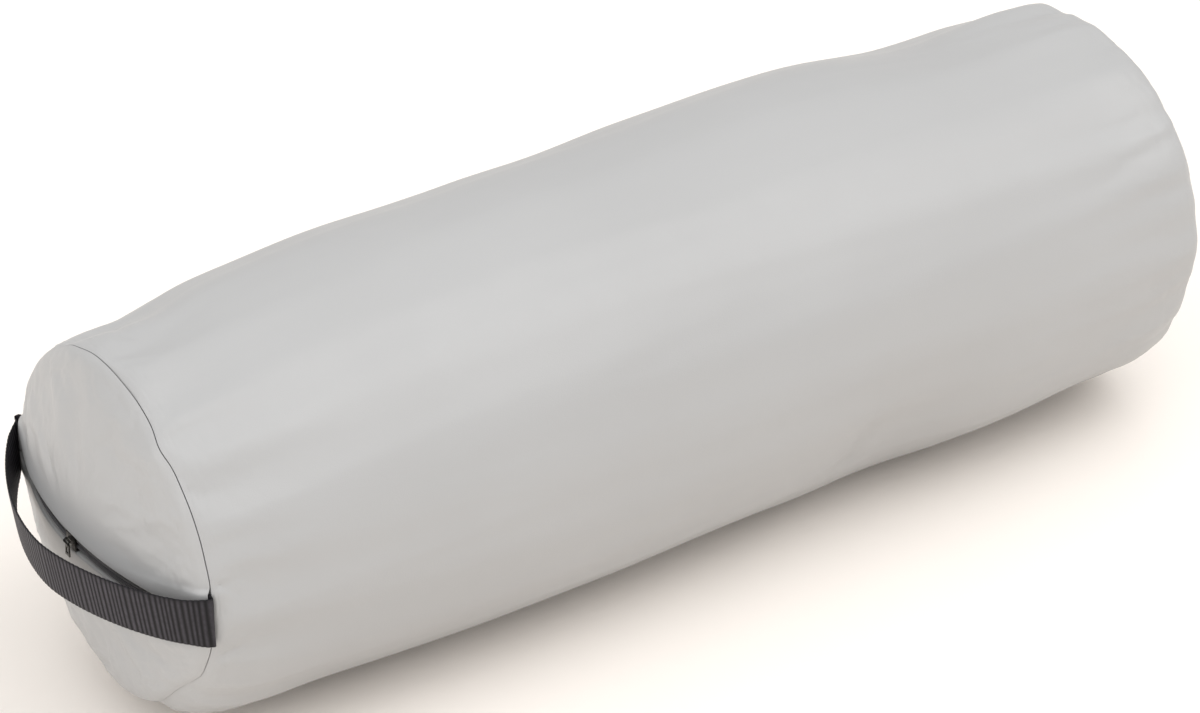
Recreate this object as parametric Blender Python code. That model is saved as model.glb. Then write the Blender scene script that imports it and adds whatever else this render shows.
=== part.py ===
"""Full-round massage bolster: foam core, wadding, sewn vinyl cover, zip and webbing handle.

Metres, +Z up. The bolster lies along X with its zip and handle at the -X end. The origin is the
middle of the strip that it rests on.
"""

import math

import bmesh
import bpy
from mathutils import Matrix, Vector

# Body of the cover
BODY_RADIUS = 0.1130
SEAM_RADIUS = 0.0977
SEAM_TO_SEAM = 0.6180
CROWN_RISE = 0.0225
SWELL_POWER = 4
REST_STRIP_WIDTH = 0.0500
VINYL = 0.0010
SEAM_ALLOWANCE = 0.0100
BODY_SEAM_ANGLE = math.radians(55)

# Filling
FOAM_TO_FLANGE = 0.0017
FOAM_END_ROOM = 0.0090

# Thread
THREAD_RADIUS = 0.0004
STITCH_LINE = 0.0040

# Zip, measured from the middle of its chain
ZIP_DROP = 0.0030
TAPE_TO_TAB = 0.00095
TAPE_PAST_CHAIN = 0.0060
TAPE_WIDTH = 0.0133
TAPE_THICKNESS = 0.0006
COIL_WIDTH = 0.0024
COIL_HEIGHT = 0.0020
CHAIN_GAP = 0.0014
STOP_LENGTH = 0.0025
HEM_WIDTH = 0.0120
SLIDER_LENGTH = 0.0095
SLIDER_SIDE = 0.0008
SLIDER_PLATE = 0.0010
SLIDER_REST_Y = 0.0060
SLIDER_TO_LIP = 0.0005

# Pull and the bridge that carries it
BRIDGE_RADIUS = 0.00055
BRIDGE_SPAN = 0.0066
BRIDGE_BEND = 0.0010
PULL_WIDTH = 0.0044
PULL_LENGTH = 0.0085
PULL_THICKNESS = 0.0009
HOOK_WALL = 0.0006
HOOK_MOUTH = math.radians(24)
WINDOW_LENGTH = 0.0036
WINDOW_WIDTH = 0.0022

# Webbing handle
WEBBING_WIDTH = 0.0300
WEBBING_THICKNESS = 0.0015
HANDLE_PAST_SEAM = 0.0023
HANDLE_REACH = 0.0400
HANDLE_ROOT = 0.0030
HANDLE_DROOP = math.radians(9.7)
HANDLE_LEAN_START = 0.25
BOW_POWER = 2.1
BOW_ROUNDNESS = 0.8
TAB_LENGTH = 0.0140
TAB_NOSE = 0.0080
BARTACK_INSET = 0.0020
BARTACK_LENGTH = 0.0016

# Clearances
GAP = 0.0003
RUNNING_GAP = 0.0003

# Mesh fineness
ROUND_SIDES = 36
STRIP_SIDES = 4
BODY_STATIONS = 12
DOME_RINGS = 6
ZIP_STATIONS = 20
HANDLE_STATIONS = 40
THREAD_SIDES = 4
WIRE_SIDES = 10
SMOOTH_ANGLE = math.radians(35)
WELD = 1e-7

# Derived places
HALF_LENGTH = SEAM_TO_SEAM / 2
AXIS_HEIGHT = math.sqrt(BODY_RADIUS**2 - (REST_STRIP_WIDTH / 2) ** 2)
DOME_RADIUS = (SEAM_RADIUS**2 + CROWN_RISE**2) / (2 * CROWN_RISE)
DOME_CENTRE = HALF_LENGTH + GAP + CROWN_RISE - DOME_RADIUS
FLANGE_RADIUS = SEAM_RADIUS - SEAM_ALLOWANCE
FOAM_RADIUS = FLANGE_RADIUS - FOAM_TO_FLANGE
FOAM_LENGTH = SEAM_TO_SEAM - 2 * FOAM_END_ROOM
THREAD_ROOM = VINYL + 2 * GAP + 2 * THREAD_RADIUS
WRAP_INNER_RADIUS = FOAM_RADIUS + GAP
COIL_INNER = CHAIN_GAP / 2
COIL_OUTER = COIL_INNER + COIL_WIDTH
TAPE_TOP = COIL_HEIGHT + GAP
TAPE_BACK = TAPE_TOP + TAPE_THICKNESS
SLIDER_HALF_WIDTH = COIL_OUTER + RUNNING_GAP + SLIDER_SIDE
LIP = SLIDER_HALF_WIDTH + SLIDER_TO_LIP
PLATE_TOP = RUNNING_GAP + SLIDER_PLATE
PLATE_BACK = TAPE_BACK + RUNNING_GAP + SLIDER_PLATE
HOOK_INNER = BRIDGE_RADIUS + RUNNING_GAP
HOOK_OUTER = HOOK_INNER + HOOK_WALL
BRIDGE_HEIGHT = PLATE_TOP + RUNNING_GAP + HOOK_OUTER
HINGE_X = -(HALF_LENGTH + GAP + WEBBING_THICKNESS / 2)
HANDLE_HALF_CHORD = SEAM_RADIUS + HANDLE_PAST_SEAM
TAB_OUTER = HANDLE_HALF_CHORD - WEBBING_THICKNESS / 2 - GAP
TAB_INNER = TAB_OUTER - TAB_LENGTH
PAD_RADIUS = TAB_INNER - GAP
TAPE_HALF_LENGTH = TAB_INNER - TAPE_TO_TAB
ZIP_HALF_LENGTH = TAPE_HALF_LENGTH - TAPE_PAST_CHAIN
BARTACK_WIDTH = WEBBING_WIDTH - 2 * BARTACK_INSET

VINYL_GREY = ((0.560, 0.553, 0.545), 0.42, 0.0)
WEBBING_CHARCOAL = ((0.018, 0.017, 0.021), 0.80, 0.0)
FOAM_CREAM = ((0.780, 0.710, 0.520), 0.95, 0.0)
WADDING_WHITE = ((0.850, 0.850, 0.840), 1.00, 0.0)
TAPE_GREY = ((0.260, 0.255, 0.265), 0.85, 0.0)
COIL_GREY = ((0.220, 0.215, 0.225), 0.45, 0.0)
DARK_NICKEL = ((0.160, 0.155, 0.145), 0.30, 1.0)
THREAD_GREY = ((0.480, 0.470, 0.460), 0.75, 0.0)


def clear_scene():
    """Removes every object, mesh and material that the scene starts with."""
    for obj in list(bpy.data.objects):
        bpy.data.objects.remove(obj, do_unlink=True)
    for mesh in list(bpy.data.meshes):
        bpy.data.meshes.remove(mesh)
    for material in list(bpy.data.materials):
        bpy.data.materials.remove(material)


def finish_material(name, finish):
    """A Principled material from a (colour, roughness, metallic) finish."""
    colour, roughness, metallic = finish
    material = bpy.data.materials.new(name)
    material.use_nodes = True
    shader = material.node_tree.nodes["Principled BSDF"]
    shader.inputs["Base Color"].default_value = (*colour, 1.0)
    shader.inputs["Roughness"].default_value = roughness
    shader.inputs["Metallic"].default_value = metallic
    return material


def add_object(name, shape, finish):
    """Links a bmesh as a named object, faces outward and shaded smooth where it is round."""
    bmesh.ops.remove_doubles(shape, verts=shape.verts, dist=WELD)
    bmesh.ops.recalc_face_normals(shape, faces=shape.faces)
    mesh = bpy.data.meshes.new(name)
    shape.to_mesh(mesh)
    shape.free()
    mesh.shade_smooth()
    mesh.set_sharp_from_angle(angle=SMOOTH_ANGLE)
    mesh.materials.append(finish_material(name, finish))
    obj = bpy.data.objects.new(name, mesh)
    bpy.context.scene.collection.objects.link(obj)
    return obj


def swept(sections, closed=False):
    """A bmesh that joins loops of equal length, capped at both ends or closed into a ring.

    Every quad is split from its lower to its higher place along X, so that nested skins match.
    """
    shape = bmesh.new()
    loops = [[shape.verts.new(point) for point in section] for section in sections]
    pairs = list(zip(loops, loops[1:]))
    if closed:
        pairs.append((loops[-1], loops[0]))
    else:
        shape.faces.new(loops[0])
        shape.faces.new(reversed(loops[-1]))
    for first, second in pairs:
        for i in range(len(first)):
            j = (i + 1) % len(first)
            if first[i].co.x <= first[j].co.x:
                shape.faces.new((first[i], second[i], second[j]))
                shape.faces.new((first[i], second[j], first[j]))
            else:
                shape.faces.new((first[i], second[i], first[j]))
                shape.faces.new((second[i], second[j], first[j]))
    return shape


def spread(low, high, steps):
    """Evenly spaced values from low to high, both included."""
    return [low + (high - low) * i / steps for i in range(steps + 1)]


def make_cutter(name, low, high):
    """A hidden box for a Boolean, given by its lowest and highest corners."""
    shape = bmesh.new()
    middle = [(a + b) / 2 for a, b in zip(low, high)]
    size = [b - a for a, b in zip(low, high)]
    bmesh.ops.create_cube(shape, size=1.0, matrix=Matrix.Translation(middle) @ Matrix.Diagonal((*size, 1)))
    return hide_helper(add_object(name, shape, VINYL_GREY))


def hide_helper(obj):
    """Keeps a Boolean's operand out of the finished object."""
    obj.hide_render = True
    obj.display_type = "WIRE"
    return obj


def combine(obj, operand, operation):
    """Adds a live Boolean of the operand to the object."""
    modifier = obj.modifiers.new(operation.title(), "BOOLEAN")
    modifier.operation = operation
    modifier.solver = "EXACT"
    modifier.object = operand


# Section of the body: round, with its lowest part flat on the rest strip


def section_angles():
    """Angles round the body from straight down, closer together over the rest strip."""
    edge = math.asin(REST_STRIP_WIDTH / 2 / BODY_RADIUS)
    strip = spread(-edge, edge, STRIP_SIDES)
    return strip + spread(edge, 2 * math.pi - edge, ROUND_SIDES)[1:-1]


def body_point(x, radius, angle, floor):
    """A point of the section at x, kept at or above the floor."""
    height = AXIS_HEIGHT - radius * math.cos(angle)
    return Vector((x, radius * math.sin(angle), max(height, floor)))


def body_radius(x):
    """The cover's outer radius, gathered in towards both end seams."""
    share = min(abs(x) / HALF_LENGTH, 1.0)
    return SEAM_RADIUS + (BODY_RADIUS - SEAM_RADIUS) * (1 - share**SWELL_POWER)


def body_stations(half_length):
    """Places along X out to a skin's own ends, shared by the nested skins in between."""
    between = [-HALF_LENGTH * math.cos(math.pi * i / BODY_STATIONS) for i in range(1, BODY_STATIONS)]
    return [-half_length] + between + [half_length]


def make_body_panel():
    """One sheet of vinyl rolled into a tube, its ends turned in at both end seams."""
    inside = HALF_LENGTH - VINYL
    profile = [(x, body_radius(x), 0.0) for x in body_stations(HALF_LENGTH)]
    profile += [(HALF_LENGTH, FLANGE_RADIUS, 0.0), (inside, FLANGE_RADIUS, 0.0)]
    profile += [(x, body_radius(x) - VINYL, VINYL) for x in reversed(body_stations(inside))]
    profile += [(-inside, FLANGE_RADIUS, 0.0), (-HALF_LENGTH, FLANGE_RADIUS, 0.0)]
    half_slit = (THREAD_RADIUS + GAP) / SEAM_RADIUS
    first = BODY_SEAM_ANGLE + half_slit
    last = BODY_SEAM_ANGLE + 2 * math.pi - half_slit
    turned = [angle if angle > first else angle + 2 * math.pi for angle in section_angles()]
    angles = [first] + sorted(angle for angle in turned if angle < last) + [last]
    sections = [[body_point(x, radius, angle, floor) for x, radius, floor in profile] for angle in angles]
    return add_object("cover_body_panel", swept(sections), VINYL_GREY)


def make_body_seam_thread():
    """The thread that closes the tube, lying in the slit between the sheet's two edges."""
    reach = HALF_LENGTH - VINYL
    sections = []
    for x in body_stations(reach):
        centre = body_point(x, body_radius(x) - VINYL / 2, BODY_SEAM_ANGLE, 0.0)
        sections.append(thread_section(centre, Vector((0, 0, 1)), Vector((0, 1, 0))))
    return add_object("body_seam_thread", swept(sections), THREAD_GREY)


def thread_section(centre, up, side):
    """A small polygon of thread about a centre, in the plane of two directions."""
    turns = [2 * math.pi * i / THREAD_SIDES for i in range(THREAD_SIDES)]
    return [centre + THREAD_RADIUS * (up * math.cos(turn) + side * math.sin(turn)) for turn in turns]


def make_end_seam_thread(name, sign):
    """The ring of thread that joins an end panel to the body, behind the turned-in allowances."""
    x = sign * (HALF_LENGTH - VINYL - GAP - THREAD_RADIUS)
    sections = []
    for angle in section_angles():
        centre = body_point(x, SEAM_RADIUS - STITCH_LINE, angle, 0.0)
        outward = (body_point(x, SEAM_RADIUS, angle, 0.0) - centre).normalized()
        sections.append(thread_section(centre, outward, Vector((1, 0, 0))))
    return add_object(name, swept(sections, closed=True), THREAD_GREY)


# End panels: domed discs whose rims turn in at the seam


def dome_offset(radius, depth):
    """How far past the end of the body panel the dome lies, at a radius and a depth under its face."""
    return math.sqrt((DOME_RADIUS - depth) ** 2 - radius**2) + DOME_CENTRE - HALF_LENGTH


def turned_about_axis(profile, sign):
    """A bmesh of an (offset, radius) profile turned about the bolster's axis at one end."""
    sections = []
    for angle in section_angles():
        sections.append([body_point(sign * (HALF_LENGTH + s), r, angle, 0.0) for s, r in profile])
    return swept(sections, closed=True)


def dome_profile():
    """The end panel's section: dome, rim, allowance turned in behind it, and the dome's back."""
    meeting = math.sqrt((DOME_RADIUS - VINYL) ** 2 - (HALF_LENGTH + GAP + VINYL - DOME_CENTRE) ** 2)
    front = [(dome_offset(r, 0.0), r) for r in spread(0.0, SEAM_RADIUS, DOME_RINGS)]
    allowance = [(GAP, FLANGE_RADIUS), (GAP + VINYL, FLANGE_RADIUS)]
    back = [(dome_offset(r, VINYL), r) for r in spread(meeting, 0.0, DOME_RINGS)]
    return front + allowance + back


def make_closed_end_panel():
    """The plain end panel."""
    return add_object("end_panel_closed", turned_about_axis(dome_profile(), 1), VINYL_GREY)


def on_dome(y, z, depth):
    """A point on or under the zip end's dome. y and z are taken at its face, z from the zip's line."""
    height = z - ZIP_DROP
    scale = 1 - depth / DOME_RADIUS
    out = math.sqrt(DOME_RADIUS**2 - y**2 - height**2)
    return Vector((-DOME_CENTRE - scale * out, scale * y, AXIS_HEIGHT + scale * height))


def dome_strip(y_values, section):
    """A bmesh that runs a (z, depth) section along the zip's line."""
    return swept([[on_dome(y, z, depth) for z, depth in section] for y in y_values])


def make_zip_half_panel(name, sign, pockets):
    """Half of the zip end's panel, hemmed along the zip and open where the webbing enters."""
    panel = add_object(name, turned_about_axis(dome_profile(), -1), VINYL_GREY)
    lip_height = AXIS_HEIGHT - ZIP_DROP + sign * LIP
    reach = SEAM_RADIUS + SEAM_ALLOWANCE
    edges = sorted((lip_height, AXIS_HEIGHT + sign * reach))
    low = (-HALF_LENGTH - CROWN_RISE - SEAM_ALLOWANCE, -reach, edges[0])
    high = (-HALF_LENGTH + SEAM_ALLOWANCE, reach, edges[1])
    combine(panel, make_cutter(name + "_bounds", low, high), "INTERSECT")
    section = [
        (sign * LIP, VINYL / 2),
        (sign * (LIP + HEM_WIDTH), VINYL / 2),
        (sign * (LIP + HEM_WIDTH), 2 * VINYL),
        (sign * LIP, 2 * VINYL),
    ]
    hem = dome_strip(spread(-TAPE_HALF_LENGTH, TAPE_HALF_LENGTH, ZIP_STATIONS), section)
    combine(panel, hide_helper(add_object(name + "_hem", hem, VINYL_GREY)), "UNION")
    for pocket in pockets:
        combine(panel, pocket, "DIFFERENCE")
    return panel


# Filling


def make_foam_core():
    """The foam cylinder that gives the bolster its shape."""
    half = FOAM_LENGTH / 2
    profile = [(-half, 0.0), (-half, FOAM_RADIUS), (half, FOAM_RADIUS), (half, 0.0)]
    sections = [[body_point(x, r, angle, 0.0) for x, r in profile] for angle in section_angles()]
    return add_object("foam_core", swept(sections, closed=True), FOAM_CREAM)


def make_wadding_wrap():
    """Wadding rolled round the core, filling the cover out to its skin."""
    reach = HALF_LENGTH - THREAD_ROOM
    skin = VINYL + GAP
    profile = [(x, body_radius(x) - skin, skin) for x in body_stations(reach)]
    profile += [(reach, WRAP_INNER_RADIUS, 0.0), (-reach, WRAP_INNER_RADIUS, 0.0)]
    sections = [[body_point(x, r, angle, floor) for x, r, floor in profile] for angle in section_angles()]
    return add_object("wadding_wrap", swept(sections, closed=True), WADDING_WHITE)


def make_wadding_pad(name, sign, depth):
    """The pad that crowns one end, from the core's end to the back of the panel."""
    base = FOAM_LENGTH / 2 + GAP - HALF_LENGTH
    face = [(dome_offset(r, depth), r) for r in spread(0.0, PAD_RADIUS, DOME_RINGS)]
    profile = face + [(base, PAD_RADIUS), (base, 0.0)]
    return add_object(name, turned_about_axis(profile, sign), WADDING_WHITE)


# Zip


def strip_along_zip(name, z_range, depth_range, half_length, finish):
    """A bar or tape of the zip along most of its line."""
    section = [(z_range[0], depth_range[0]), (z_range[1], depth_range[0])]
    section += [(z_range[1], depth_range[1]), (z_range[0], depth_range[1])]
    shape = dome_strip(spread(-half_length, half_length, ZIP_STATIONS), section)
    return add_object(name, shape, finish)


def make_zip_side(side, sign):
    """One side of the zip: its tape, its coil and the thread that sews the tape to its panel."""
    tape = [sign * COIL_INNER, sign * (COIL_INNER + TAPE_WIDTH)]
    coil = [sign * COIL_INNER, sign * COIL_OUTER]
    strip_along_zip("zip_tape_" + side, tape, (TAPE_TOP, TAPE_BACK), TAPE_HALF_LENGTH, TAPE_GREY)
    strip_along_zip("zip_coil_" + side, coil, (0.0, COIL_HEIGHT), ZIP_HALF_LENGTH, COIL_GREY)
    line = sign * (LIP + STITCH_LINE)
    depth = TAPE_BACK + GAP + THREAD_RADIUS
    sections = []
    for y in spread(-ZIP_HALF_LENGTH, ZIP_HALF_LENGTH, ZIP_STATIONS):
        sections.append(thread_section(on_dome(y, line, depth), Vector((0, 0, 1)), Vector((1, 0, 0))))
    return add_object("zip_seam_thread_" + side, swept(sections), THREAD_GREY)


def make_zip_stop(name, end, z_low, z_high):
    """A stop crimped on the chain's end, at +Y for end 1 and at -Y for end -1."""
    start = ZIP_HALF_LENGTH + GAP
    section = [(z_low, 0.0), (z_high, 0.0), (z_high, COIL_HEIGHT), (z_low, COIL_HEIGHT)]
    shape = dome_strip([end * start, end * (start + STOP_LENGTH)], section)
    return add_object(name, shape, DARK_NICKEL)


def slider_section():
    """The slider across its travel: top plate, two sides, the post between the coils, bottom plate."""
    half = SLIDER_HALF_WIDTH
    inner = half - SLIDER_SIDE
    post = COIL_INNER - RUNNING_GAP
    bottom = TAPE_BACK + RUNNING_GAP
    right = [(half, -PLATE_TOP), (half, COIL_HEIGHT), (inner, COIL_HEIGHT), (inner, -RUNNING_GAP)]
    right += [(post, -RUNNING_GAP), (post, bottom), (half, bottom), (half, PLATE_BACK)]
    return right + [(-z, depth) for z, depth in reversed(right)]


def bridge_path():
    """The bridge's wire: up from the top plate, along the travel, and down again."""
    half = BRIDGE_SPAN / 2
    rise = BRIDGE_HEIGHT - BRIDGE_BEND
    path = [(-half, -PLATE_TOP + SLIDER_PLATE / 2)]
    for turn in spread(0.0, math.pi / 2, 3):
        path.append((-half + BRIDGE_BEND * (1 - math.cos(turn)), -rise - BRIDGE_BEND * math.sin(turn)))
    return path + [(-y, depth) for y, depth in reversed(path)]


def wire_along(path, radius):
    """A bmesh tube through (y, depth) points over the zip's line."""
    points = [on_dome(y, 0.0, depth) for y, depth in path]
    sections = []
    for i, point in enumerate(points):
        along = (points[min(i + 1, len(points) - 1)] - points[max(i - 1, 0)]).normalized()
        side = Vector((0, 0, 1))
        up = side.cross(along).normalized()
        turns = [2 * math.pi * k / WIRE_SIDES for k in range(WIRE_SIDES)]
        sections.append([point + radius * (up * math.cos(t) + side * math.sin(t)) for t in turns])
    return swept(sections)


def make_slider():
    """The slider, turned about the upright axis through the centre of the zip's arc."""
    axis = Vector((-DOME_CENTRE, 0.0, AXIS_HEIGHT - ZIP_DROP))
    half = SLIDER_LENGTH / 2
    body = dome_strip(spread(-half, half, 2), slider_section())
    bmesh.ops.translate(body, verts=body.verts, vec=-axis)
    slider = add_object("zip_slider", body, DARK_NICKEL)
    wire = wire_along(bridge_path(), BRIDGE_RADIUS)
    bmesh.ops.translate(wire, verts=wire.verts, vec=-axis)
    bridge = hide_helper(add_object("zip_slider_bridge", wire, DARK_NICKEL))
    bridge.parent = slider
    combine(slider, bridge, "UNION")
    slider.location = axis
    slider.rotation_euler.z = -math.asin(SLIDER_REST_Y / DOME_RADIUS)
    return slider


def pull_outline():
    """The pull from its side, about the bridge's centre: a crimped hook with a tab below."""
    half = PULL_THICKNESS / 2
    join = math.asin(half / HOOK_OUTER)
    mouth = math.radians(90)
    outer = spread(-math.pi / 2 + join, mouth - HOOK_MOUTH / 2, 8)
    outer_back = spread(mouth + HOOK_MOUTH / 2, 3 * math.pi / 2 - join, 8)
    points = [(half, -PULL_LENGTH)]
    points += [(HOOK_OUTER * math.cos(a), HOOK_OUTER * math.sin(a)) for a in outer]
    inner = spread(mouth - HOOK_MOUTH / 2, mouth + HOOK_MOUTH / 2 - 2 * math.pi, 16)
    points += [(HOOK_INNER * math.cos(a), HOOK_INNER * math.sin(a)) for a in inner]
    points += [(HOOK_OUTER * math.cos(a), HOOK_OUTER * math.sin(a)) for a in outer_back]
    return points + [(-half, -PULL_LENGTH)]


def make_pull(slider):
    """The pull, hanging from the slider's bridge, with its origin on the bridge's centre line."""
    sections = []
    for y in (-PULL_WIDTH / 2, PULL_WIDTH / 2):
        sections.append([Vector((x, y, z)) for x, z in pull_outline()])
    pull = add_object("zip_pull", swept(sections), DARK_NICKEL)
    middle = -(PULL_LENGTH + HOOK_OUTER) / 2
    low = (-PULL_THICKNESS, -WINDOW_WIDTH / 2, middle - WINDOW_LENGTH / 2)
    high = (PULL_THICKNESS, WINDOW_WIDTH / 2, middle + WINDOW_LENGTH / 2)
    window = make_cutter("zip_pull_window", low, high)
    window.parent = pull
    combine(pull, window, "DIFFERENCE")
    axis = Vector((-DOME_CENTRE, 0.0, AXIS_HEIGHT - ZIP_DROP))
    pull.parent = slider
    pull.location = on_dome(0.0, 0.0, -BRIDGE_HEIGHT) - axis
    return pull


# Webbing handle


def bow(share):
    """How far out of the seam the webbing stands, from -1 at one sewn end to 1 at the other."""
    rest = HANDLE_REACH - HANDLE_ROOT
    return HANDLE_ROOT + rest * (1 - abs(share) ** BOW_POWER) ** BOW_ROUNDNESS


def handle_stations():
    """(y, distance out) along the webbing's centre line, relative to its hinge line."""
    arc = [math.pi * i / HANDLE_STATIONS for i in range(HANDLE_STATIONS + 1)]
    bowed = [(-HANDLE_HALF_CHORD * math.cos(a), bow(-math.cos(a))) for a in arc]
    return [(-HANDLE_HALF_CHORD, 0.0)] + bowed + [(HANDLE_HALF_CHORD, 0.0)]


def make_handle():
    """The webbing loop, bowed out of the end seam and drooping a little under its weight."""
    stations = handle_stations()
    sections = []
    for i, (y, out) in enumerate(stations):
        before = stations[max(i - 1, 0)]
        after = stations[min(i + 1, len(stations) - 1)]
        tangent = Vector((before[1] - after[1], after[0] - before[0], 0)).normalized()
        lean = HANDLE_DROOP * min(1.0, out / HANDLE_REACH / HANDLE_LEAN_START)
        droop = Vector((-math.cos(HANDLE_DROOP), 0, -math.sin(HANDLE_DROOP)))
        across = Vector((-math.sin(lean), 0, math.cos(lean)))
        across = (across - tangent * across.dot(tangent)).normalized()
        through = tangent.cross(across).normalized()
        centre = Vector((0, y, 0)) + droop * out
        wide = across * WEBBING_WIDTH / 2
        thick = through * WEBBING_THICKNESS / 2
        sections.append([centre + wide + thick, centre - wide + thick, centre - wide - thick, centre + wide - thick])
    handle = add_object("handle_strap", swept(sections), WEBBING_CHARCOAL)
    handle.location = (HINGE_X, 0.0, AXIS_HEIGHT)
    return handle


def flat_plate(outline, x_low, x_high):
    """A bmesh plate of a (y, z) outline between two places along X."""
    return swept([[Vector((x, y, z)) for y, z in outline] for x in (x_low, x_high)])


def make_handle_end(name, side):
    """The webbing's end inside the seam, its nose reaching out to the loop."""
    half = WEBBING_WIDTH / 2
    shoulder = math.sqrt(SEAM_RADIUS**2 - half**2)
    heights = [(TAB_INNER, -half), (shoulder, -half), (TAB_OUTER, -TAB_NOSE / 2)]
    outline = heights + [(y, -z) for y, z in reversed(heights)]
    outline = [(side * y, AXIS_HEIGHT + z) for y, z in outline]
    shape = flat_plate(outline, -HALF_LENGTH - GAP - WEBBING_THICKNESS, -HALF_LENGTH - GAP)
    return add_object(name, shape, WEBBING_CHARCOAL)


def make_bartack(name, side):
    """The bar of stitches that locks a webbing end, on the face turned to the end panel."""
    half = BARTACK_WIDTH / 2
    start = TAB_INNER + GAP
    outline = [(start, -half), (start + BARTACK_LENGTH, -half), (start + BARTACK_LENGTH, half), (start, half)]
    outline = [(side * y, AXIS_HEIGHT + z) for y, z in outline]
    front = -HALF_LENGTH - GAP - WEBBING_THICKNESS - GAP
    return add_object(name, flat_plate(outline, front - THREAD_RADIUS, front), THREAD_GREY)


def make_pocket(name, side):
    """The room that a webbing end takes in the end seam, as a cutter for the panel's halves."""
    half = WEBBING_WIDTH / 2 + GAP
    depth = 2 * GAP + WEBBING_THICKNESS
    y_low, y_high = sorted((side * (TAB_INNER - GAP), side * (SEAM_RADIUS + SEAM_ALLOWANCE)))
    low = (-HALF_LENGTH - depth, y_low, AXIS_HEIGHT - half)
    return make_cutter(name, low, (-HALF_LENGTH, y_high, AXIS_HEIGHT + half))


def build():
    """Makes every piece of the bolster."""
    clear_scene()
    make_body_panel()
    make_body_seam_thread()
    make_closed_end_panel()
    make_end_seam_thread("end_seam_thread_closed", 1)
    make_end_seam_thread("end_seam_thread_zip", -1)
    pockets = [make_pocket("pocket_left", -1), make_pocket("pocket_right", 1)]
    make_zip_half_panel("end_panel_zip_upper", 1, pockets)
    make_zip_half_panel("end_panel_zip_lower", -1, pockets)
    make_foam_core()
    make_wadding_wrap()
    make_wadding_pad("wadding_pad_closed", 1, VINYL + GAP)
    make_wadding_pad("wadding_pad_zip", -1, PLATE_BACK + GAP)
    make_zip_side("upper", 1)
    make_zip_side("lower", -1)
    make_zip_stop("zip_top_stop_upper", 1, COIL_INNER, COIL_OUTER)
    make_zip_stop("zip_top_stop_lower", 1, -COIL_OUTER, -COIL_INNER)
    make_zip_stop("zip_bottom_stop", -1, -COIL_OUTER, COIL_OUTER)
    make_pull(make_slider())
    make_handle()
    make_handle_end("handle_end_left", -1)
    make_handle_end("handle_end_right", 1)
    make_bartack("handle_bartack_left", -1)
    make_bartack("handle_bartack_right", 1)


build()
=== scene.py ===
"""Full-round massage bolster: stuffed vinyl cover, zip end, webbing handle, core and wadding.

Metres, +Z up. The bolster lies along X with its zip and handle at the -X end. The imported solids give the
frame, and every class below dresses or replaces the ones that it names.
"""

import logging
import math
from dataclasses import dataclass, field
from enum import Enum
from typing import Any, Sequence

import bmesh
import bpy
import numpy as np
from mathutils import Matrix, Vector


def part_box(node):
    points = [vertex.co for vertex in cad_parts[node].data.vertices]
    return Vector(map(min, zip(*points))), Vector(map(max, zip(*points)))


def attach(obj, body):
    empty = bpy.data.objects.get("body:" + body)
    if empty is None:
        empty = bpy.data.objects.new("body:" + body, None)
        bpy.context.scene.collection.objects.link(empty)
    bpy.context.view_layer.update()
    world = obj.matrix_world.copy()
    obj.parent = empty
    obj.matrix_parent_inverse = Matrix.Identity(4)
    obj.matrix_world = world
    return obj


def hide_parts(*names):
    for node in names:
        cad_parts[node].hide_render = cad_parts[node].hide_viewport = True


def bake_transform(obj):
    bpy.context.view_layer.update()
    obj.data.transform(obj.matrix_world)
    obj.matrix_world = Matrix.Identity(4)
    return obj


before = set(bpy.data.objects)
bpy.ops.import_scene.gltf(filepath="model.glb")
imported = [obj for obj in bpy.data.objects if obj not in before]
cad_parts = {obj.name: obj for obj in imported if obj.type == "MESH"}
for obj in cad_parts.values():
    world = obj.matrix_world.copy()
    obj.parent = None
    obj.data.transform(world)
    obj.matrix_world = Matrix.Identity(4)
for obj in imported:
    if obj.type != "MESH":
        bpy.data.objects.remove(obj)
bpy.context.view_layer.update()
LOG = logging.getLogger("bolster")
FLOOR_EASE = 0.0004

Array = np.ndarray
Colour = tuple[float, float, float]


# Shader maths


class Value:
    """A shader socket that Python arithmetic can be written on."""

    def __init__(self, graph: "Graph", socket: bpy.types.NodeSocket) -> None:
        """Keeps the graph that the socket belongs to."""
        self.graph = graph
        self.socket = socket

    def _maths(self, operation: str, first: Any, second: Any) -> "Value":
        """Adds one Math node on two numbers or values."""
        node = self.graph.add("ShaderNodeMath", {"operation": operation}, {0: first, 1: second})
        return Value(self.graph, node.outputs[0])

    def __add__(self, other: Any) -> "Value":
        """Sum."""
        return self._maths("ADD", self, other)

    __radd__ = __add__

    def __sub__(self, other: Any) -> "Value":
        """Difference."""
        return self._maths("SUBTRACT", self, other)

    def __rsub__(self, other: Any) -> "Value":
        """Difference with this value taken away."""
        return self._maths("SUBTRACT", other, self)

    def __mul__(self, other: Any) -> "Value":
        """Product."""
        return self._maths("MULTIPLY", self, other)

    __rmul__ = __mul__

    def power(self, exponent: float) -> "Value":
        """This value raised to a power."""
        return self._maths("POWER", self, exponent)

    def sine(self) -> "Value":
        """Sine of this value in radians."""
        return self._maths("SINE", self, 0.0)

    def size(self) -> "Value":
        """This value without its sign."""
        return self._maths("ABSOLUTE", self, 0.0)


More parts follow.
